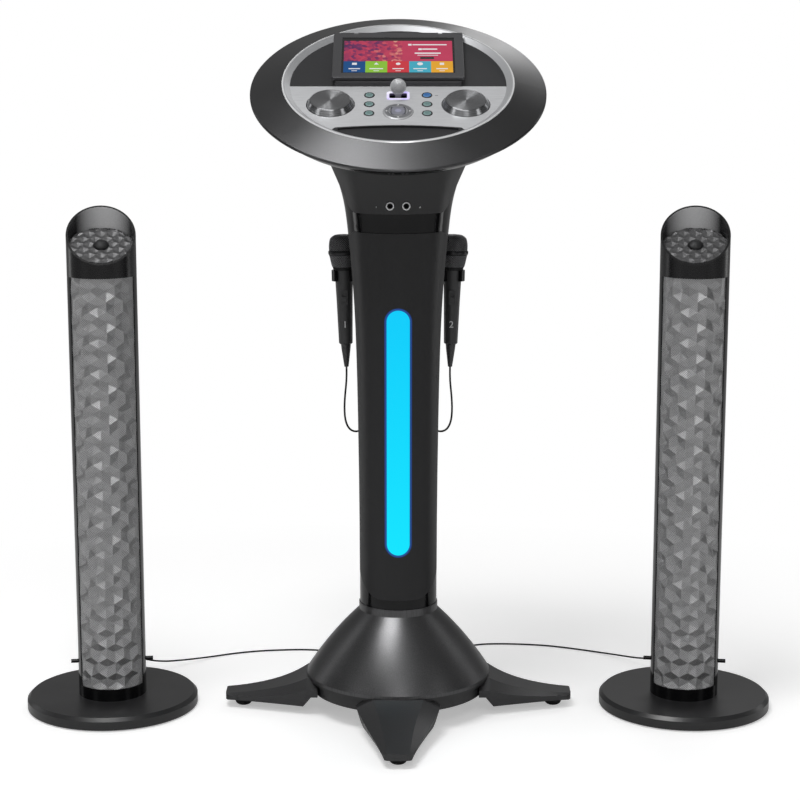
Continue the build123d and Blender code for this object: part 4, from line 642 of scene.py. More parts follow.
# %% Tree helpers
def new_tree(name, inputs):
    """A tree with named inputs, what they give, and its last node."""
    tree = bpy.data.node_groups.new(name, "GeometryNodeTree")
    tree.interface.new_socket("Geometry", in_out="INPUT", socket_type="NodeSocketGeometry")
    for label, kind, default in inputs:
        socket = tree.interface.new_socket(label, in_out="INPUT", socket_type="NodeSocket" + kind)
        if default is not None:
            socket.default_value = default
    tree.interface.new_socket("Geometry", in_out="OUTPUT", socket_type="NodeSocketGeometry")
    return tree, tree.nodes.new("NodeGroupInput").outputs, tree.nodes.new("NodeGroupOutput")


def position(tree):
    """Where each point is at this step."""
    return made(tree, "GeometryNodeInputPosition")


def move(tree, geometry, **how):
    """Set a Position or an Offset, for a Selection or for every point."""
    return made(tree, "GeometryNodeSetPosition", {"Geometry": geometry, **how})


def close_tree(tree, geometry, finish, end):
    """Make every copy real, paint it and hand it out."""
    real = made(tree, "GeometryNodeRealizeInstances", {"Geometry": geometry})
    feed(tree, end, {0: made(tree, "GeometryNodeSetMaterial", {"Geometry": real, "Material": finish})})


def settle(piece):
    """Keep the plain mesh that a piece's modifiers make."""
    mesh = baked(piece)
    piece.modifiers.clear()
    piece.data = mesh


def grow(name, tree, values, mesh=None):
    """Run a tree on a new object and keep the plain mesh that comes out."""
    piece = stand(name, mesh or bpy.data.meshes.new(name))
    growth = piece.modifiers.new("growth", "NODES")
    growth.node_group = tree
    for item in tree.interface.items_tree:
        if item.in_out == "INPUT" and item.name in values:
            growth[item.identifier] = values[item.name]
    settle(piece)
    print(name, "faces", len(piece.data.polygons))
    return piece


def keep(piece, body, slot, *stands_for):
    """Attach a finished piece to the body it rides on, and hide the solids it stands for."""
    if stands_for:
        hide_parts(*stands_for)
    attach(piece, body)
    return piece

# %% [markdown]
# ## Grille cloth
# The tower grilles are punched metal, pressed into rows of hexagonal dimples. Close up there
# are holes less than two millimetres apart; from afar only the facets show, each in its own grey.
# The holes follow the sheet, so the finish reads the flat coordinates that the tree stores.

# %% Punched metal
HOLE_SCALE = 560        # holes in a metre, in rows that run at 45 degrees


def punched_metal(name, dark, light, metallic):
    """A drifting grey web round rows of dark holes."""
    material, tree, shader = blank_finish(name)
    flat = made(tree, "ShaderNodeUVMap", uv_map="UVMap")
    turned = made(tree, "ShaderNodeMapping", {"Vector": flat, "Rotation": (0, 0, math.radians(45))})
    holes = put(tree, "ShaderNodeTexVoronoi", {"Vector": turned, "Scale": HOLE_SCALE, "Randomness": 0.0})
    web = spread(tree, holes.outputs["Distance"], 0, 1, 0.26, 0.36)
    metal = drifting(tree, noise(tree, turned, 900, 2), dark, light)
    feed(tree, shader, {"Base Color": between(tree, web, "1b1b1c", metal), "Metallic": metallic,
                        "Roughness": spread(tree, web, 0.6, 0.36, 0, 1)})
    relief(tree, shader, web, 0.0002)
    return material


GRILLE_METAL = punched_metal("punched grille", "b7b7b8", "c9c9ca", 0.8)
TOP_METAL = punched_metal("punched top grille", "6a6a6b", "7c7c7d", 0.5)

# %% [markdown]
# ## Hexagon field
# One hexagon is a six-sided circle whose face is extruded in place, shrunk and pushed back to
# make a dimple. Copies stand on a grid with every second row moved by half a step, and each
# gets its own depth from a seeded random value. Points past the edge of the sheet are pulled
# back onto it. Then the flat field is rolled round the tower, or cut to a disc for the top.

# %% Hexagon field
FIELD_INPUTS = [
    ("Across", "Float", 0.026), ("Columns", "Int", 6), ("Rows", "Int", 31), ("Depth", "Float", 0.002),
    ("Shift", "Vector", None), ("Seed", "Int", 3), ("Finish", "Material", None),
    ("Location", "Vector", None), ("Turn", "Vector", None),
]
EDGE_FADE = 0.012       # the dimples flatten out over this width beside the shell's edges
DIMPLE_FLOOR = 0.16     # the width of a dimple's floor, as a share of its hexagon


def hexagon_field(tree, given):
    """A flat field of dimpled hexagons round the origin."""
    pitch = times(tree, given["Across"], math.sqrt(3) / 2)
    grid = made(tree, "GeometryNodeMeshGrid", {
        "Size X": times(tree, given["Across"], sum_of(tree, "SUBTRACT", given["Columns"], 1)),
        "Size Y": times(tree, pitch, sum_of(tree, "SUBTRACT", given["Rows"], 1)),
        "Vertices X": given["Columns"], "Vertices Y": given["Rows"]})
    up = sum_of(tree, "ADD", parts_of(tree, position(tree))["Y"], 1.0)
    odd = sum_of(tree, "MODULO", sum_of(tree, "ROUND", sum_of(tree, "DIVIDE", up, pitch)), 2.0)
    aside = times(tree, odd, times(tree, given["Across"], 0.5))
    shifted = move(tree, move(tree, grid, Offset=vector(tree, aside)), Offset=given["Shift"])
    corner = sum_of(tree, "DIVIDE", given["Across"], math.sqrt(3))
    circle = made(tree, "GeometryNodeMeshCircle", {"Vertices": 6, "Radius": corner}, fill_type="NGON")
    upright = made(tree, "GeometryNodeTransform", {"Geometry": circle, "Rotation": (0, 0, math.radians(30))})
    raised = put(tree, "GeometryNodeExtrudeMesh", {"Mesh": upright, "Offset Scale": 0.0}).outputs
    small = made(tree, "GeometryNodeScaleElements", {"Geometry": raised["Mesh"], "Selection": raised["Top"],
                                                     "Scale": DIMPLE_FLOOR})
    sink = vector(tree, z=times(tree, given["Depth"], -1.0))
    dimple = move(tree, small, Selection=raised["Top"], Offset=sink)
    chance = made(tree, "FunctionNodeRandomValue", {"Min": (1, 1, 0.92), "Max": (1, 1, 1.06),
                                                    "Seed": given["Seed"]}, data_type="FLOAT_VECTOR")
    copies = made(tree, "GeometryNodeInstanceOnPoints", {"Points": shifted, "Instance": dimple,
                                                         "Scale": chance})
    real = made(tree, "GeometryNodeRealizeInstances", {"Geometry": copies})
    return made(tree, "GeometryNodeMergeByDistance", {"Geometry": real, "Distance": 0.0003})


def tidy_field(tree, geometry):
    """Drop the faces that were squeezed flat at the edge, and store the flat coordinates."""
    merged = made(tree, "GeometryNodeMergeByDistance", {"Geometry": geometry, "Distance": 0.0002})
    area = made(tree, "GeometryNodeInputMeshFaceArea")
    thin = made(tree, "FunctionNodeCompare", {"A": area, "B": 1e-7}, operation="LESS_THAN", data_type="FLOAT")
    clean = made(tree, "GeometryNodeDeleteGeometry", {"Geometry": merged, "Selection": thin}, domain="FACE")
    return made(tree, "GeometryNodeStoreNamedAttribute", {"Geometry": clean, "Name": "UVMap",
                "Value": position(tree)}, data_type="FLOAT2", domain="CORNER")


def set_down(tree, geometry, given, end):
    """Put a finished sheet in its place and paint it."""
    placed = made(tree, "GeometryNodeTransform", {"Geometry": geometry, "Translation": given["Location"],
                                                  "Rotation": given["Turn"]})
    close_tree(tree, placed, given["Finish"], end)
    return tree


def rolled_grille():
    """A field held inside a rectangle and rolled round an upright axis."""
    tree, given, end = new_tree("rolled hexagon grille", FIELD_INPUTS + [
        ("Radius", "Float", 0.0493), ("Half width", "Float", 0.056), ("Half height", "Float", 0.309)])
    field = hexagon_field(tree, given)
    at = parts_of(tree, position(tree))
    held = {}
    inside = 1.0
    for axis, limit in (("X", "Half width"), ("Y", "Half height")):
        low = times(tree, given[limit], -1.0)
        held[axis] = made(tree, "ShaderNodeClamp", {"Value": at[axis], "Min": low, "Max": given[limit]})
        past = sum_of(tree, "ABSOLUTE", sum_of(tree, "SUBTRACT", at[axis], held[axis]))
        inside = times(tree, inside, sum_of(tree, "LESS_THAN", past, 1e-6))
    room = sum_of(tree, "SUBTRACT", given["Half width"], sum_of(tree, "ABSOLUTE", at["X"]))
    share = sum_of(tree, "DIVIDE", room, EDGE_FADE)
    fade = made(tree, "ShaderNodeClamp", {"Value": share, "Min": 0.0, "Max": 1.0})
    deep = times(tree, times(tree, at["Z"], inside), fade)
    flat = tidy_field(tree, move(tree, field, Position=vector(tree, held["X"], held["Y"], deep)))
    at = parts_of(tree, position(tree))
    angle = sum_of(tree, "DIVIDE", at["X"], given["Radius"])
    arm = sum_of(tree, "ADD", given["Radius"], at["Z"])
    east = times(tree, arm, sum_of(tree, "SINE", angle))
    north = times(tree, times(tree, arm, sum_of(tree, "COSINE", angle)), -1.0)
    return set_down(tree, move(tree, flat, Position=vector(tree, east, north, at["Y"])), given, end)


def round_grille():
    """A field held inside a circle."""
    tree, given, end = new_tree("round hexagon grille", FIELD_INPUTS + [("Radius", "Float", 0.0474)])
    field = hexagon_field(tree, given)
    at = parts_of(tree, position(tree))
    reach = length_of(tree, vector(tree, at["X"], at["Y"]))
    share = sum_of(tree, "DIVIDE", given["Radius"], sum_of(tree, "MAXIMUM", reach, 0.001))
    pull = sum_of(tree, "MINIMUM", 1.0, share)
    inside = sum_of(tree, "LESS_THAN", reach, given["Radius"])
    held = vector(tree, times(tree, at["X"], pull), times(tree, at["Y"], pull), times(tree, at["Z"], inside))
    return set_down(tree, tidy_field(tree, move(tree, field, Position=held)), given, end)

# %% [markdown]
# ## Plain meshes
# What doesn't repeat is drawn directly: a profile is turned round an axis, a sheet gets a wall,
# and several pieces become one object that keeps the finish of each.

# %% Mesh helpers
def mesh_of(name, shell, finishes, place=None):
    """Turn a drawn shell into a mesh, and put it in its place."""
    mesh = bpy.data.meshes.new(name)
    shell.to_mesh(mesh)
    shell.free()
    if place:
        mesh.transform(place)
    for finish in finishes:
        mesh.materials.append(finish)
    return mesh


def join(name, pieces):
    """One object from several, with the finishes of them all."""
    shell = bmesh.new()
    finishes = []
    for piece in pieces:
        own = list(piece.data.materials)
        for finish in own:
            if finish not in finishes:
                finishes.append(finish)
        start = len(shell.faces)
        shell.from_mesh(piece.data)
        shell.faces.ensure_lookup_table()
        for face in shell.faces[start:]:
            face.material_index = finishes.index(own[min(face.material_index, len(own) - 1)])
    mesh = mesh_of(name, shell, finishes)
    for piece in pieces:
        bpy.data.objects.remove(piece)
    return stand(name, mesh)


def thicken(piece, wall):
    """Give an open sheet a wall behind it, so that it is a closed shell."""
    solid = piece.modifiers.new("wall", "SOLIDIFY")
    solid.thickness = wall
    solid.offset = -1
    settle(piece)


def spun(name, profile, place, finish, steps=48):
    """A shape turned round its own Z axis from (radius, height) pairs, in millimetres."""
    shell = bmesh.new()
    rings = []
    for radius, height in profile:
        angles = [2 * math.pi * k / steps for k in range(1 if radius < 1e-6 else steps)]
        ring = [(radius * math.cos(a) / 1000, radius * math.sin(a) / 1000, height / 1000) for a in angles]
        rings.append([shell.verts.new(corner) for corner in ring])
    for one, two in zip(rings, rings[1:]):
        for k in range(steps):
            corners = [one[k % len(one)], one[(k + 1) % len(one)], two[(k + 1) % len(two)], two[k % len(two)]]
            shell.faces.new(list(dict.fromkeys(corners)))
    for ring in (rings[0], rings[-1]):
        if len(ring) > 1 and profile[0] != profile[-1]:
            shell.faces.new(ring)
    bmesh.ops.remove_doubles(shell, verts=shell.verts, dist=1e-7)
    bmesh.ops.recalc_face_normals(shell, faces=shell.faces)
    mesh = mesh_of(name, shell, [finish], place)
    for face in mesh.polygons:
        face.use_smooth = True
    return stand(name, mesh)

# %% Tower grilles
ROLLED, ROUND = rolled_grille(), round_grille()
DOME_MESH = moulded("dome mesh", "1e1e1f", "3b3b3c", (0.4, 0.6), metallic=0.5, grain=1500, depth=0.0003)
DOME_LINE = [(11.5, -0.5), (11.5, 1.2), (10.2, 3.0), (8.0, 5.2), (4.5, 6.8), (0, 7.4)]
TOP_SLOPE = math.radians(26)
FRONT_MIDDLE = Vector((0, 0, 0.3455))
TOP_MIDDLE = Matrix.Translation((0, 0, 0.6962))
for side, tower in TOWERS.items():
    front = grow("front_" + side, ROLLED, {
        "Finish": GRILLE_METAL, "Shift": (-0.0075, 0.289, 0), "Seed": 3 if side == "left" else 8,
        "Location": tower @ FRONT_MIDDLE, "Turn": tower.to_euler(), "Depth": 0.0054,
        "Rows": 57, "Columns": 8, "Half height": 0.3085})
    thicken(front, 0.0008)
    seat = tower @ TOP_MIDDLE @ Matrix.Rotation(TOP_SLOPE, 4, "X")
    top = grow("top_" + side, ROUND, {
        "Finish": TOP_METAL, "Across": 0.017, "Rows": 11, "Columns": 9, "Depth": 0.0026, "Seed": 5,
        "Location": seat.to_translation(), "Turn": seat.to_euler(), "Radius": 0.0474})
    thicken(top, 0.0012)
    dome = spun("dome_" + side, DOME_LINE, seat, DOME_MESH, 32)
    whole = join("grilles_" + side, [front, top, dome])
    keep(whole, "console", "grille_silver", "tower_grilles_" + side)

# %% [markdown]
# ## Woven wire
# A microphone's head is wire cloth pressed into a dome. Two families of strands climb round it
# in opposite turns and pass over and under each other. The script lays the strands out as bare
# lines, and a small tree turns every line into a wire, because a line is easy to reason about
# and a tube is not. The solid stays inside as the dark foam that shows between the wires.

# %% Wire tree
def wire_tree():
    """A square wire along every line of a mesh."""
    tree, given, end = new_tree("wire", [("Wire", "Float", 0.0002), ("Finish", "Material", None)])
    lines = made(tree, "GeometryNodeMeshToCurve", {"Mesh": given["Geometry"]})
    section = made(tree, "GeometryNodeCurvePrimitiveCircle", {"Resolution": 4, "Radius": given["Wire"]})
    tube = made(tree, "GeometryNodeCurveToMesh", {"Curve": lines, "Profile Curve": section,
                                                  "Fill Caps": True})
    close_tree(tree, tube, given["Finish"], end)
    return tree


WIRE = wire_tree()


def along(outline, share):
    """The point of an outline at a share of its length."""
    lengths = [math.dist(a, b) for a, b in zip(outline, outline[1:])]
    left = share * sum(lengths)
    for (a, b), length in zip(zip(outline, outline[1:]), lengths):
        if left <= length:
            return [p + (q - p) * left / length for p, q in zip(a, b)]
        left -= length
    return outline[-1]


def woven(name, outline, place, strands, rows, wire, finish):
    """Wire cloth round a turned outline of (radius, height) pairs, in millimetres."""
    points, edges = [], []
    for way in (1, -1):
        for strand in range(strands):
            for row in range(rows + 1):
                radius, height = along(outline, row / rows)
                radius += wire * 1000 * (1.1 if (row % 2 == 0) == (way > 0) else 0.1)
                angle = 2 * math.pi * (strand + way * row / 2) / strands
                points.append(place @ Vector((radius * math.cos(angle), radius * math.sin(angle), height)))
                if row:
                    edges.append((len(points) - 2, len(points) - 1))
    mesh = bpy.data.meshes.new(name)
    mesh.from_pydata(points, edges, [])
    return grow(name, WIRE, {"Wire": wire, "Finish": finish}, mesh)

# %% [markdown]
# ## Microphones
# The head's cloth is gunmetal wire with a smooth band round its widest part. The collar below it
# is ribbed, so that a hand does not slip. The body is a soft-touch black.

# %% Microphone heads
MM = Matrix.Scale(0.001, 4)
MIC_PLACE = (0.0805, 0.050, 0.648)
MIC_LEAN = math.radians(1.3)
MICS = {side: Matrix.Translation(on_side(sign, MIC_PLACE)) @ Matrix.Rotation(sign * MIC_LEAN, 4, "Y")
        for side, sign in SIDES}
HEAD_DOME = [
    (20.6, 36.6), (20.7, 42.0), (20.4, 46.0), (19.7, 50.0), (18.6, 53.5), (15.6, 56.4), (12.0, 58.4),
    (3.0, 59.1),
]
HEAD_SKIRT = [(16.6, 12.0), (17.6, 15.0), (19.0, 21.8), (20.2, 28.0), (21.0, 29.6)]
HEAD_BAND = [(21.4, 30.2), (22.2, 30.6), (22.4, 32.8), (22.2, 35.0), (21.4, 35.4), (21.4, 30.2)]
HEAD_STRANDS = 46
HEAD_WIRE = 0.0003
GUNMETAL = moulded("gunmetal wire", "6a6a6c", "98989a", (0.28, 0.4), metallic=0.75, depth=0.00001)
FOAM = moulded("head foam", "0c0c0c", "1b1b1c", (0.85, 0.95), grain=1600, depth=0.0002)
BAND_PAINT = moulded("band paint", "252526", "343436", (0.25, 0.35), metallic=0.6, depth=0.00001)
SOFT_BLACK = moulded("soft touch black", "323233", "3f3f40", (0.36, 0.48), grain=1800)
for side, place in MICS.items():
    dress(FOAM, "mic_head_" + side)
    dress(SOFT_BLACK, "mic_body_" + side)
    dome = woven("dome_cloth", HEAD_DOME, place @ MM, HEAD_STRANDS, 22, HEAD_WIRE, GUNMETAL)
    skirt = woven("skirt_cloth", HEAD_SKIRT, place @ MM, HEAD_STRANDS, 14, HEAD_WIRE, GUNMETAL)
    band = spun("band", HEAD_BAND, place, BAND_PAINT)
    cloth = join("mic_cloth_" + side, [dome, skirt, band])
    keep(cloth, "microphone_" + side, "mic_mesh")
    ribs = []
    for rib in range(4):
        low = 7.7 + rib * 1.15
        out = 15.6 + rib * 0.3
        foot = (out - 0.6, low)
        line = [foot, (out, low + 0.1), (out, low + 0.6), (out - 0.6, low + 0.7), foot]
        ribs.append(spun("rib", line, place, BAND_PAINT, 40))
    keep(join("mic_collar_" + side, ribs), "microphone_" + side, "dark_grey")

# %% [markdown]
# ## Effect lever
# The lever's ball is wrapped in silver wire cloth, finer than a microphone's.

# %% Lever cloth
LEVER_BALL = CONSOLE @ Matrix.Translation((0, LEVER_Y, 0.0095))
BALL_RADIUS = 11.05
SILVER_WIRE = moulded("silver wire", "c4c5c7", "dedfe0", (0.3, 0.42), metallic=0.35, depth=0.00001)
BALL_CORE = moulded("lever core", "8f8f93", "a3a3a6", (0.4, 0.5), metallic=0.1, grain=1200)
dress(BALL_CORE, "effect_lever")
BALL_ANGLES = [math.radians(degrees) for degrees in range(-42, 87, 8)]
ball_line = [(BALL_RADIUS * math.cos(a), BALL_RADIUS * math.sin(a)) for a in BALL_ANGLES]
cloth = woven("lever_cloth", ball_line, LEVER_BALL @ MM, 34, 20, 0.00022, SILVER_WIRE)
keep(cloth, "effect_lever", "lever_metal")

# %% [markdown]
# ## Flat plates
# Symbols, screen tiles and marks are thin plates with a closed rim: an outline is drawn at two
# heights and its sides are filled in. Outlines run anticlockwise, so that the tops face up.

# %% Plate maker
def bar(x, y, wide, tall):
    """The outline of a rectangle."""
    return [(x + i * wide / 2, y + j * tall / 2) for i, j in ((-1, -1), (1, -1), (1, 1), (-1, 1))]


def dot(x, y, radius, sides=20, turn=0.0):
    """The outline of a disc, or of a shape with a few sides."""
    angles = [turn + 2 * math.pi * k / sides for k in range(sides)]
    return [(x + radius * math.cos(a), y + radius * math.sin(a)) for a in angles]


def plates(name, place, shapes, finishes):
    """Closed thin plates from (outline, low, high, finish number), in millimetres."""
    shell = bmesh.new()
    for outline, low, high, number in shapes:
        floor = [shell.verts.new((x / 1000, y / 1000, low / 1000)) for x, y in outline]
        roof = [shell.verts.new((x / 1000, y / 1000, high / 1000)) for x, y in outline]
        sides = [[floor[k - 1], floor[k], roof[k], roof[k - 1]] for k in range(len(outline))]
        for corners in [roof, floor[::-1], *sides]:
            shell.faces.new(corners).material_index = number
    return stand(name, mesh_of(name, shell, finishes, place))

# %% [markdown]
# ## Screen
# The display is black glass. Its picture is a menu: a wide banner over a row of five coloured
# tiles, with plain dots and bars in place of words. A screen shines by itself, so each colour
# glows a little, and the banner's left half is a mosaic of warm cells.

# %% Glass and glow
def screen_glass():
    """Black glass with a clear coat."""
    material, tree, shader = blank_finish("screen glass")
    feed(tree, shader, {"Base Color": paint("0b0b0d"), "Coat Weight": 0.4,
                        "Roughness": spread(tree, noise(tree, object_place(tree), 40), 0.04, 0.1)})
    return material


def shining(name, colour, drift=0.1):
    """A lit patch of the display, a little uneven like a real backlight."""
    material, tree, shader = glow(name, colour, 0.85)
    bright = paint(colour)
    dim = tuple(c * (1 - drift) for c in bright[:3]) + (1.0,)
    light = drifting(tree, noise(tree, object_place(tree), 30), dim, bright)
    feed(tree, shader, {"Emission Color": light, "Roughness": 0.2})
    return material


def mosaic():
    """Warm cells of several sizes, deeper purple towards the left."""
    material, tree, shader = glow("mosaic banner", "c03a5c", 0.85)
    place = object_place(tree, location=(-0.079, 0, 0), scale=(1, 1, 1.6))
    cells = put(tree, "ShaderNodeTexVoronoi", {"Vector": place, "Scale": 170}).outputs["Color"]
    red = put(tree, "ShaderNodeSeparateColor", {"Color": cells}).outputs["Red"]
    right = spread(tree, parts_of(tree, place)["X"], 0.0, 0.4, 0.0, 0.08)
    warmth = sum_of(tree, "ADD", times(tree, red, 0.6), right)
    feed(tree, shader, {"Emission Color": ramp_of(tree, warmth, [
        (0.0, "3b2150"), (0.28, "722a5e"), (0.5, "ad3358"), (0.75, "c9405c"), (1.0, "e5a08c")])})
    return material


dress(screen_glass(), "screen_panel")

# %% Screen picture
GLASS_TOP = 6.2
TILE = 0.08                 # how thick a tile is
INK = 0.05                  # how far a mark stands out from its tile
LEFT, SPLIT, RIGHT = -79.0, 6.0, 79.0
LOW, ROW, HIGH = 12.4, 44.5, 104.6
ICON_ROW = 37
tints = [shining("tile " + code, code) for code in ("0c4f8c", "8fc93a", "d63a44", "46b3cc", "f3b02f")]
DARK_MARK = moulded("dark mark", "161618", "1d1d1f", (0.4, 0.5))
WHITE_LIGHT = shining("white light", "f4f4f6")
screen_finishes = [*tints, mosaic(), shining("banner pink", "c83f60"), WHITE_LIGHT, DARK_MARK]
MOSAIC, PINK, WHITE, DARK = range(len(tints), len(screen_finishes))
tile_wide = (RIGHT - LEFT) / len(tints)
low, high = GLASS_TOP, GLASS_TOP + TILE
shapes = [
    (bar((LEFT + SPLIT) / 2, (ROW + HIGH) / 2, SPLIT - LEFT, HIGH - ROW), low, high, MOSAIC),
    (bar((RIGHT + SPLIT) / 2, (ROW + HIGH) / 2, RIGHT - SPLIT, HIGH - ROW), low, high, PINK),
]
marks = [
    (bar(46, 93, 50, 3.0), WHITE), (bar(17, 93, 5, 5), WHITE), (bar(46, 80, 22, 3.4), WHITE),
    (bar(32, 79.6, 5, 5), WHITE), (bar(43, 68, 38, 3.4), WHITE), (bar(43, 62, 30, 1.6), WHITE),
    (bar(42, 54, 20, 6.4), DARK),
]
for number in range(len(tints)):
    middle = LEFT + (number + 0.5) * tile_wide
    shapes.append((bar(middle, (LOW + ROW) / 2, tile_wide, ROW - LOW), low, high, number))
    icons = [bar(middle, ICON_ROW, 7, 6), dot(middle, ICON_ROW, 4.0, 3, math.pi / 2),
             dot(middle, ICON_ROW, 3.4), dot(middle, ICON_ROW, 4.2, 24),
             dot(middle, ICON_ROW, 4.4, 4, math.pi / 4)]
    caption = bar(middle, 23, tile_wide * (0.52 + 0.1 * (number % 2)), 2.6)
    note = bar(middle, 17, tile_wide * 0.25, 1.4)
    shapes += [(outline, high, high + INK, WHITE) for outline in (icons[number], caption, note)]
shapes += [(outline, high, high + INK, number) for outline, number in marks]
keep(plates("screen_picture", CONSOLE, shapes, screen_finishes), "screen_lid", "screen")

# %% [markdown]
# ## Marks on the controls
# Each small button carries a plain sign, the ring has four arrows, and the microphones and
# their sockets are told apart by numbers. A sign rides on the cap that it is printed on.

# %% Button and ring signs
PRINT_DARK = moulded("dark print", "2a3a3e", "334449", (0.5, 0.6), depth=0.000004)
PRINT_WHITE = moulded("white print", "c9cacb", "dcdddd", (0.5, 0.6), depth=0.000004)
CAP_TOP = -4.3
signs = {
    ("left", 1): [dot(0.3, 0, 2.3, 3)],
    ("left", 2): [bar(-1.1, 0, 1.0, 3.6), bar(1.1, 0, 1.0, 3.6)],
    ("left", 3): [bar(0, 0, 3.2, 3.2)],
    ("right", 1): [dot(0, 0, 1.9)],
    ("right", 2): [bar(0, 0, 3.8, 1.0), bar(0, 1.2, 1.0, 1.4), bar(0, -1.2, 1.0, 1.4)],
    ("right", 3): [bar(0, 0, 3.8, 1.0)],
}
for (side, row), outlines in signs.items():
    body = "button_{}_{}".format(side, row)
    x, y = BUTTONS[(side, row)][:2]
    place = CONSOLE @ Matrix.Translation((x, y, 0))
    shapes = [(outline, CAP_TOP, CAP_TOP + INK, 0) for outline in outlines]
    keep(plates("sign_" + body, place, shapes, [PRINT_DARK]), body, "light_blue")
RING_TOP = -3.9
ARROW_REACH = 16.4
ring_place = CONSOLE @ Matrix.Translation((0, RING_Y, 0))
arrows = [(dot(ARROW_REACH * math.cos(a), ARROW_REACH * math.sin(a), 2.0, 3, a), RING_TOP, RING_TOP + 0.06, 0)
          for a in [k * math.pi / 2 for k in range(4)]]
keep(plates("ring_arrows", ring_place, arrows, [PRINT_WHITE]), "nav_ring", "control_silver")
DECK_TOP = -5.5
dash = [(bar(54.5, -32.6, 4.2, 1.0), DECK_TOP, DECK_TOP + 0.06, 0)]
keep(plates("light_mark", CONSOLE, dash, [DARK_MARK]), "console", "matte_black")

# %% Numbers
def number_on(name, text, tall, place, finish, thick):
    """A printed number, turned into a mesh before it is put in place."""
    words = bpy.data.curves.new(name, "FONT")
    words.body = text
    words.size = tall * 1.4
    words.extrude = thick / 2
    words.align_x, words.align_y = "CENTER", "CENTER"
    words.resolution_u = 3
    maker = stand(name + "_maker", words)
    mesh = baked(maker)
    bpy.data.objects.remove(maker)
    mesh.transform(place)
    mesh.materials.clear()
    mesh.materials.append(finish)
    return stand(name, mesh)


UPRIGHT = Matrix.Rotation(math.pi / 2, 4, "X")
for (side, sign), digit in zip(SIDES, "12"):
    found, where, normal, _ = nodes["jack_panel"].ray_cast((sign * 0.031, -0.3, 0.759), (0, 1, 0))
    turn = Matrix.Rotation(math.atan2(normal.x, -normal.y), 4, "Z")
    wall = Matrix.Translation(where) @ turn @ UPRIGHT
    number = number_on("socket_number_" + side, digit, 0.0045, wall, PRINT_WHITE, 0.0002)
    keep(number, "console", "control_silver")
    print("socket number", digit, "found", found, tuple(round(v, 4) for v in where))
    face = MICS[side] @ Matrix.Translation((0, -0.0108, -0.074)) @ UPRIGHT
    number = number_on("mic_number_" + side, digit, 0.010, face, PRINT_WHITE, 0.0009)
    keep(number, "microphone_" + side, "control_silver")

# %% [markdown]
# ## Cord ties and the pickup's lens
# A twist of rubber holds each wound cord, and the sled in the disc well carries a small blue lens.

# %% Ties and lens
TIE_ANGLE = math.radians(-55)
tie_line = [(8.9 + 0.9 * math.cos(a), 1.6 * math.sin(a)) for a in map(math.radians, range(0, 360, 30))]
for side, sign in SIDES:
    spoke = Vector((sign * COIL_RADIUS * math.cos(TIE_ANGLE), 0, COIL_RADIUS * math.sin(TIE_ANGLE)))
    seat = Matrix.Translation(Vector(on_side(sign, COIL_CENTRE)) + spoke)
    lean = Matrix.Rotation(-sign * TIE_ANGLE, 4, "Y")
    keep(spun("cord_tie_" + side, tie_line + tie_line[:1], seat @ lean, RUBBER, 32), "console", "cord_rubber")
LENS_GLASS = moulded("lens glass", "1d2f6a", "27408a", (0.04, 0.08), metallic=0.4, grain=300, depth=0.000003)
lens_seat = CONSOLE @ Matrix.Translation((0.0208, 0.059, -0.00672))
lens = spun("pickup_lens", [(2.5, 0), (2.3, 0.35), (1.5, 0.65), (0, 0.8)], lens_seat, LENS_GLASS, 32)
keep(lens, "disc_pickup", "light_blue")

# %% [markdown]
# ## Studio
# A pale floor and white surroundings. Tall soft boxes left and right draw the upright streaks
# that polished black plastic shows, and a big soft light overhead shapes the console.

# %% Studio
def soft_box(name, where, aim, size, power):
    """A rectangular lamp that the camera does not see."""
    lamp = bpy.data.lights.new(name, "AREA")
    lamp.shape = "RECTANGLE"
    lamp.size, lamp.size_y = size
    lamp.energy = power
    box = stand(name, lamp)
    box.location = where
    box.rotation_euler = (Vector(aim) - Vector(where)).to_track_quat("-Z", "Y").to_euler()
    box.visible_camera = False


soft_box("overhead", (-0.65, -0.85, 3.2), (0, 0, 0.9), (1.3, 1.1), 50)
soft_box("front", (0.2, -3.6, 3.0), (0, 0, 0.4), (1.0, 1.2), 18)
soft_box("front left", (-2.9, -1.9, 1.6), (0, 0, 0.6), (0.9, 1.9), 8)
soft_box("front right", (2.9, -1.9, 1.6), (0, 0, 0.6), (0.9, 1.9), 9)
soft_box("rear", (1.0, 2.7, 2.7), (0, 0, 0.9), (1.4, 0.9), 11)
soft_box("left strip", (-1.7, 0.7, 0.9), (0, 0, 0.7), (0.3, 1.8), 2.5)
soft_box("right strip", (1.7, 0.7, 0.9), (0, 0, 0.7), (0.3, 1.8), 2.5)

# %% [markdown]
# The air of the studio is white where the camera looks past the machine. It lights the machine
# softly, and polished parts see it dimmer, and darkest to the sides, as past the edge of a
# studio's screen. So black stays black between the soft boxes.

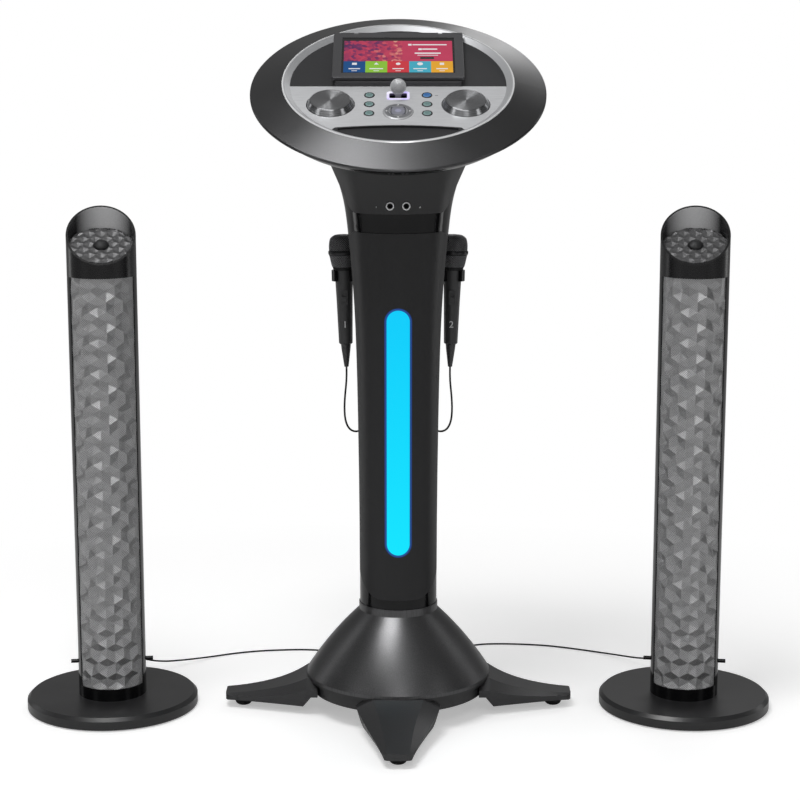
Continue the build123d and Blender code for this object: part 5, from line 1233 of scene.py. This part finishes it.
# %% White air
SOFT_LIGHT, MIRRORED_AHEAD, MIRRORED_ASIDE = 0.26, 0.26, 0.05
world = bpy.data.worlds.new("white studio")
world.use_nodes = True
bpy.context.scene.world = world
tree = world.node_tree
rays = put(tree, "ShaderNodeLightPath").outputs
seen = sum_of(tree, "MAXIMUM", rays["Is Camera Ray"], rays["Is Transmission Ray"])
ahead = put(tree, "ShaderNodeTexCoord").outputs["Generated"]
aside = sum_of(tree, "ABSOLUTE", parts_of(tree, ahead)["X"])
mirrored = spread(tree, aside, MIRRORED_AHEAD, MIRRORED_ASIDE, 0.25, 0.9)
change = times(tree, rays["Is Glossy Ray"], sum_of(tree, "SUBTRACT", mirrored, SOFT_LIGHT))
strength = sum_of(tree, "MAXIMUM", seen, sum_of(tree, "ADD", change, SOFT_LIGHT))
feed(tree, tree.nodes["Background"], {"Color": (1, 1, 1, 1), "Strength": strength})

# %% [markdown]
# The floor near the machine is a real pale surface, which takes its shadow. Further out it fades
# to plain white for the camera alone, so no edge shows where it meets the air.

# %% Pale floor
FADE_FROM, FADE_TO = 0.55, 1.15
floor_mesh = bpy.data.meshes.new("floor")
floor_mesh.from_pydata([(-8, -8, 0), (8, -8, 0), (8, 8, 0), (-8, 8, 0)], [], [(0, 1, 2, 3)])
floor = stand("floor", floor_mesh)
pale, tree, shader = blank_finish("pale floor")
looked_at = put(tree, "ShaderNodeLightPath").outputs["Is Camera Ray"]
feed(tree, shader, {"Base Color": (0.8, 0.8, 0.8, 1), "Roughness": 0.7, "Emission Color": (1, 1, 1, 1),
                    "Emission Strength": times(tree, looked_at, 0.4)})
away = spread(tree, length_of(tree, object_place(tree, scale=(1.25, 1, 1))), 0, 1, FADE_FROM, FADE_TO)
white = made(tree, "ShaderNodeEmission")
far = times(tree, away, looked_at)
mixed = made(tree, "ShaderNodeMixShader", {"Fac": far, 1: shader.outputs["BSDF"], 2: white})
feed(tree, tree.nodes["Material Output"], {"Surface": mixed})
floor_mesh.materials.append(pale)
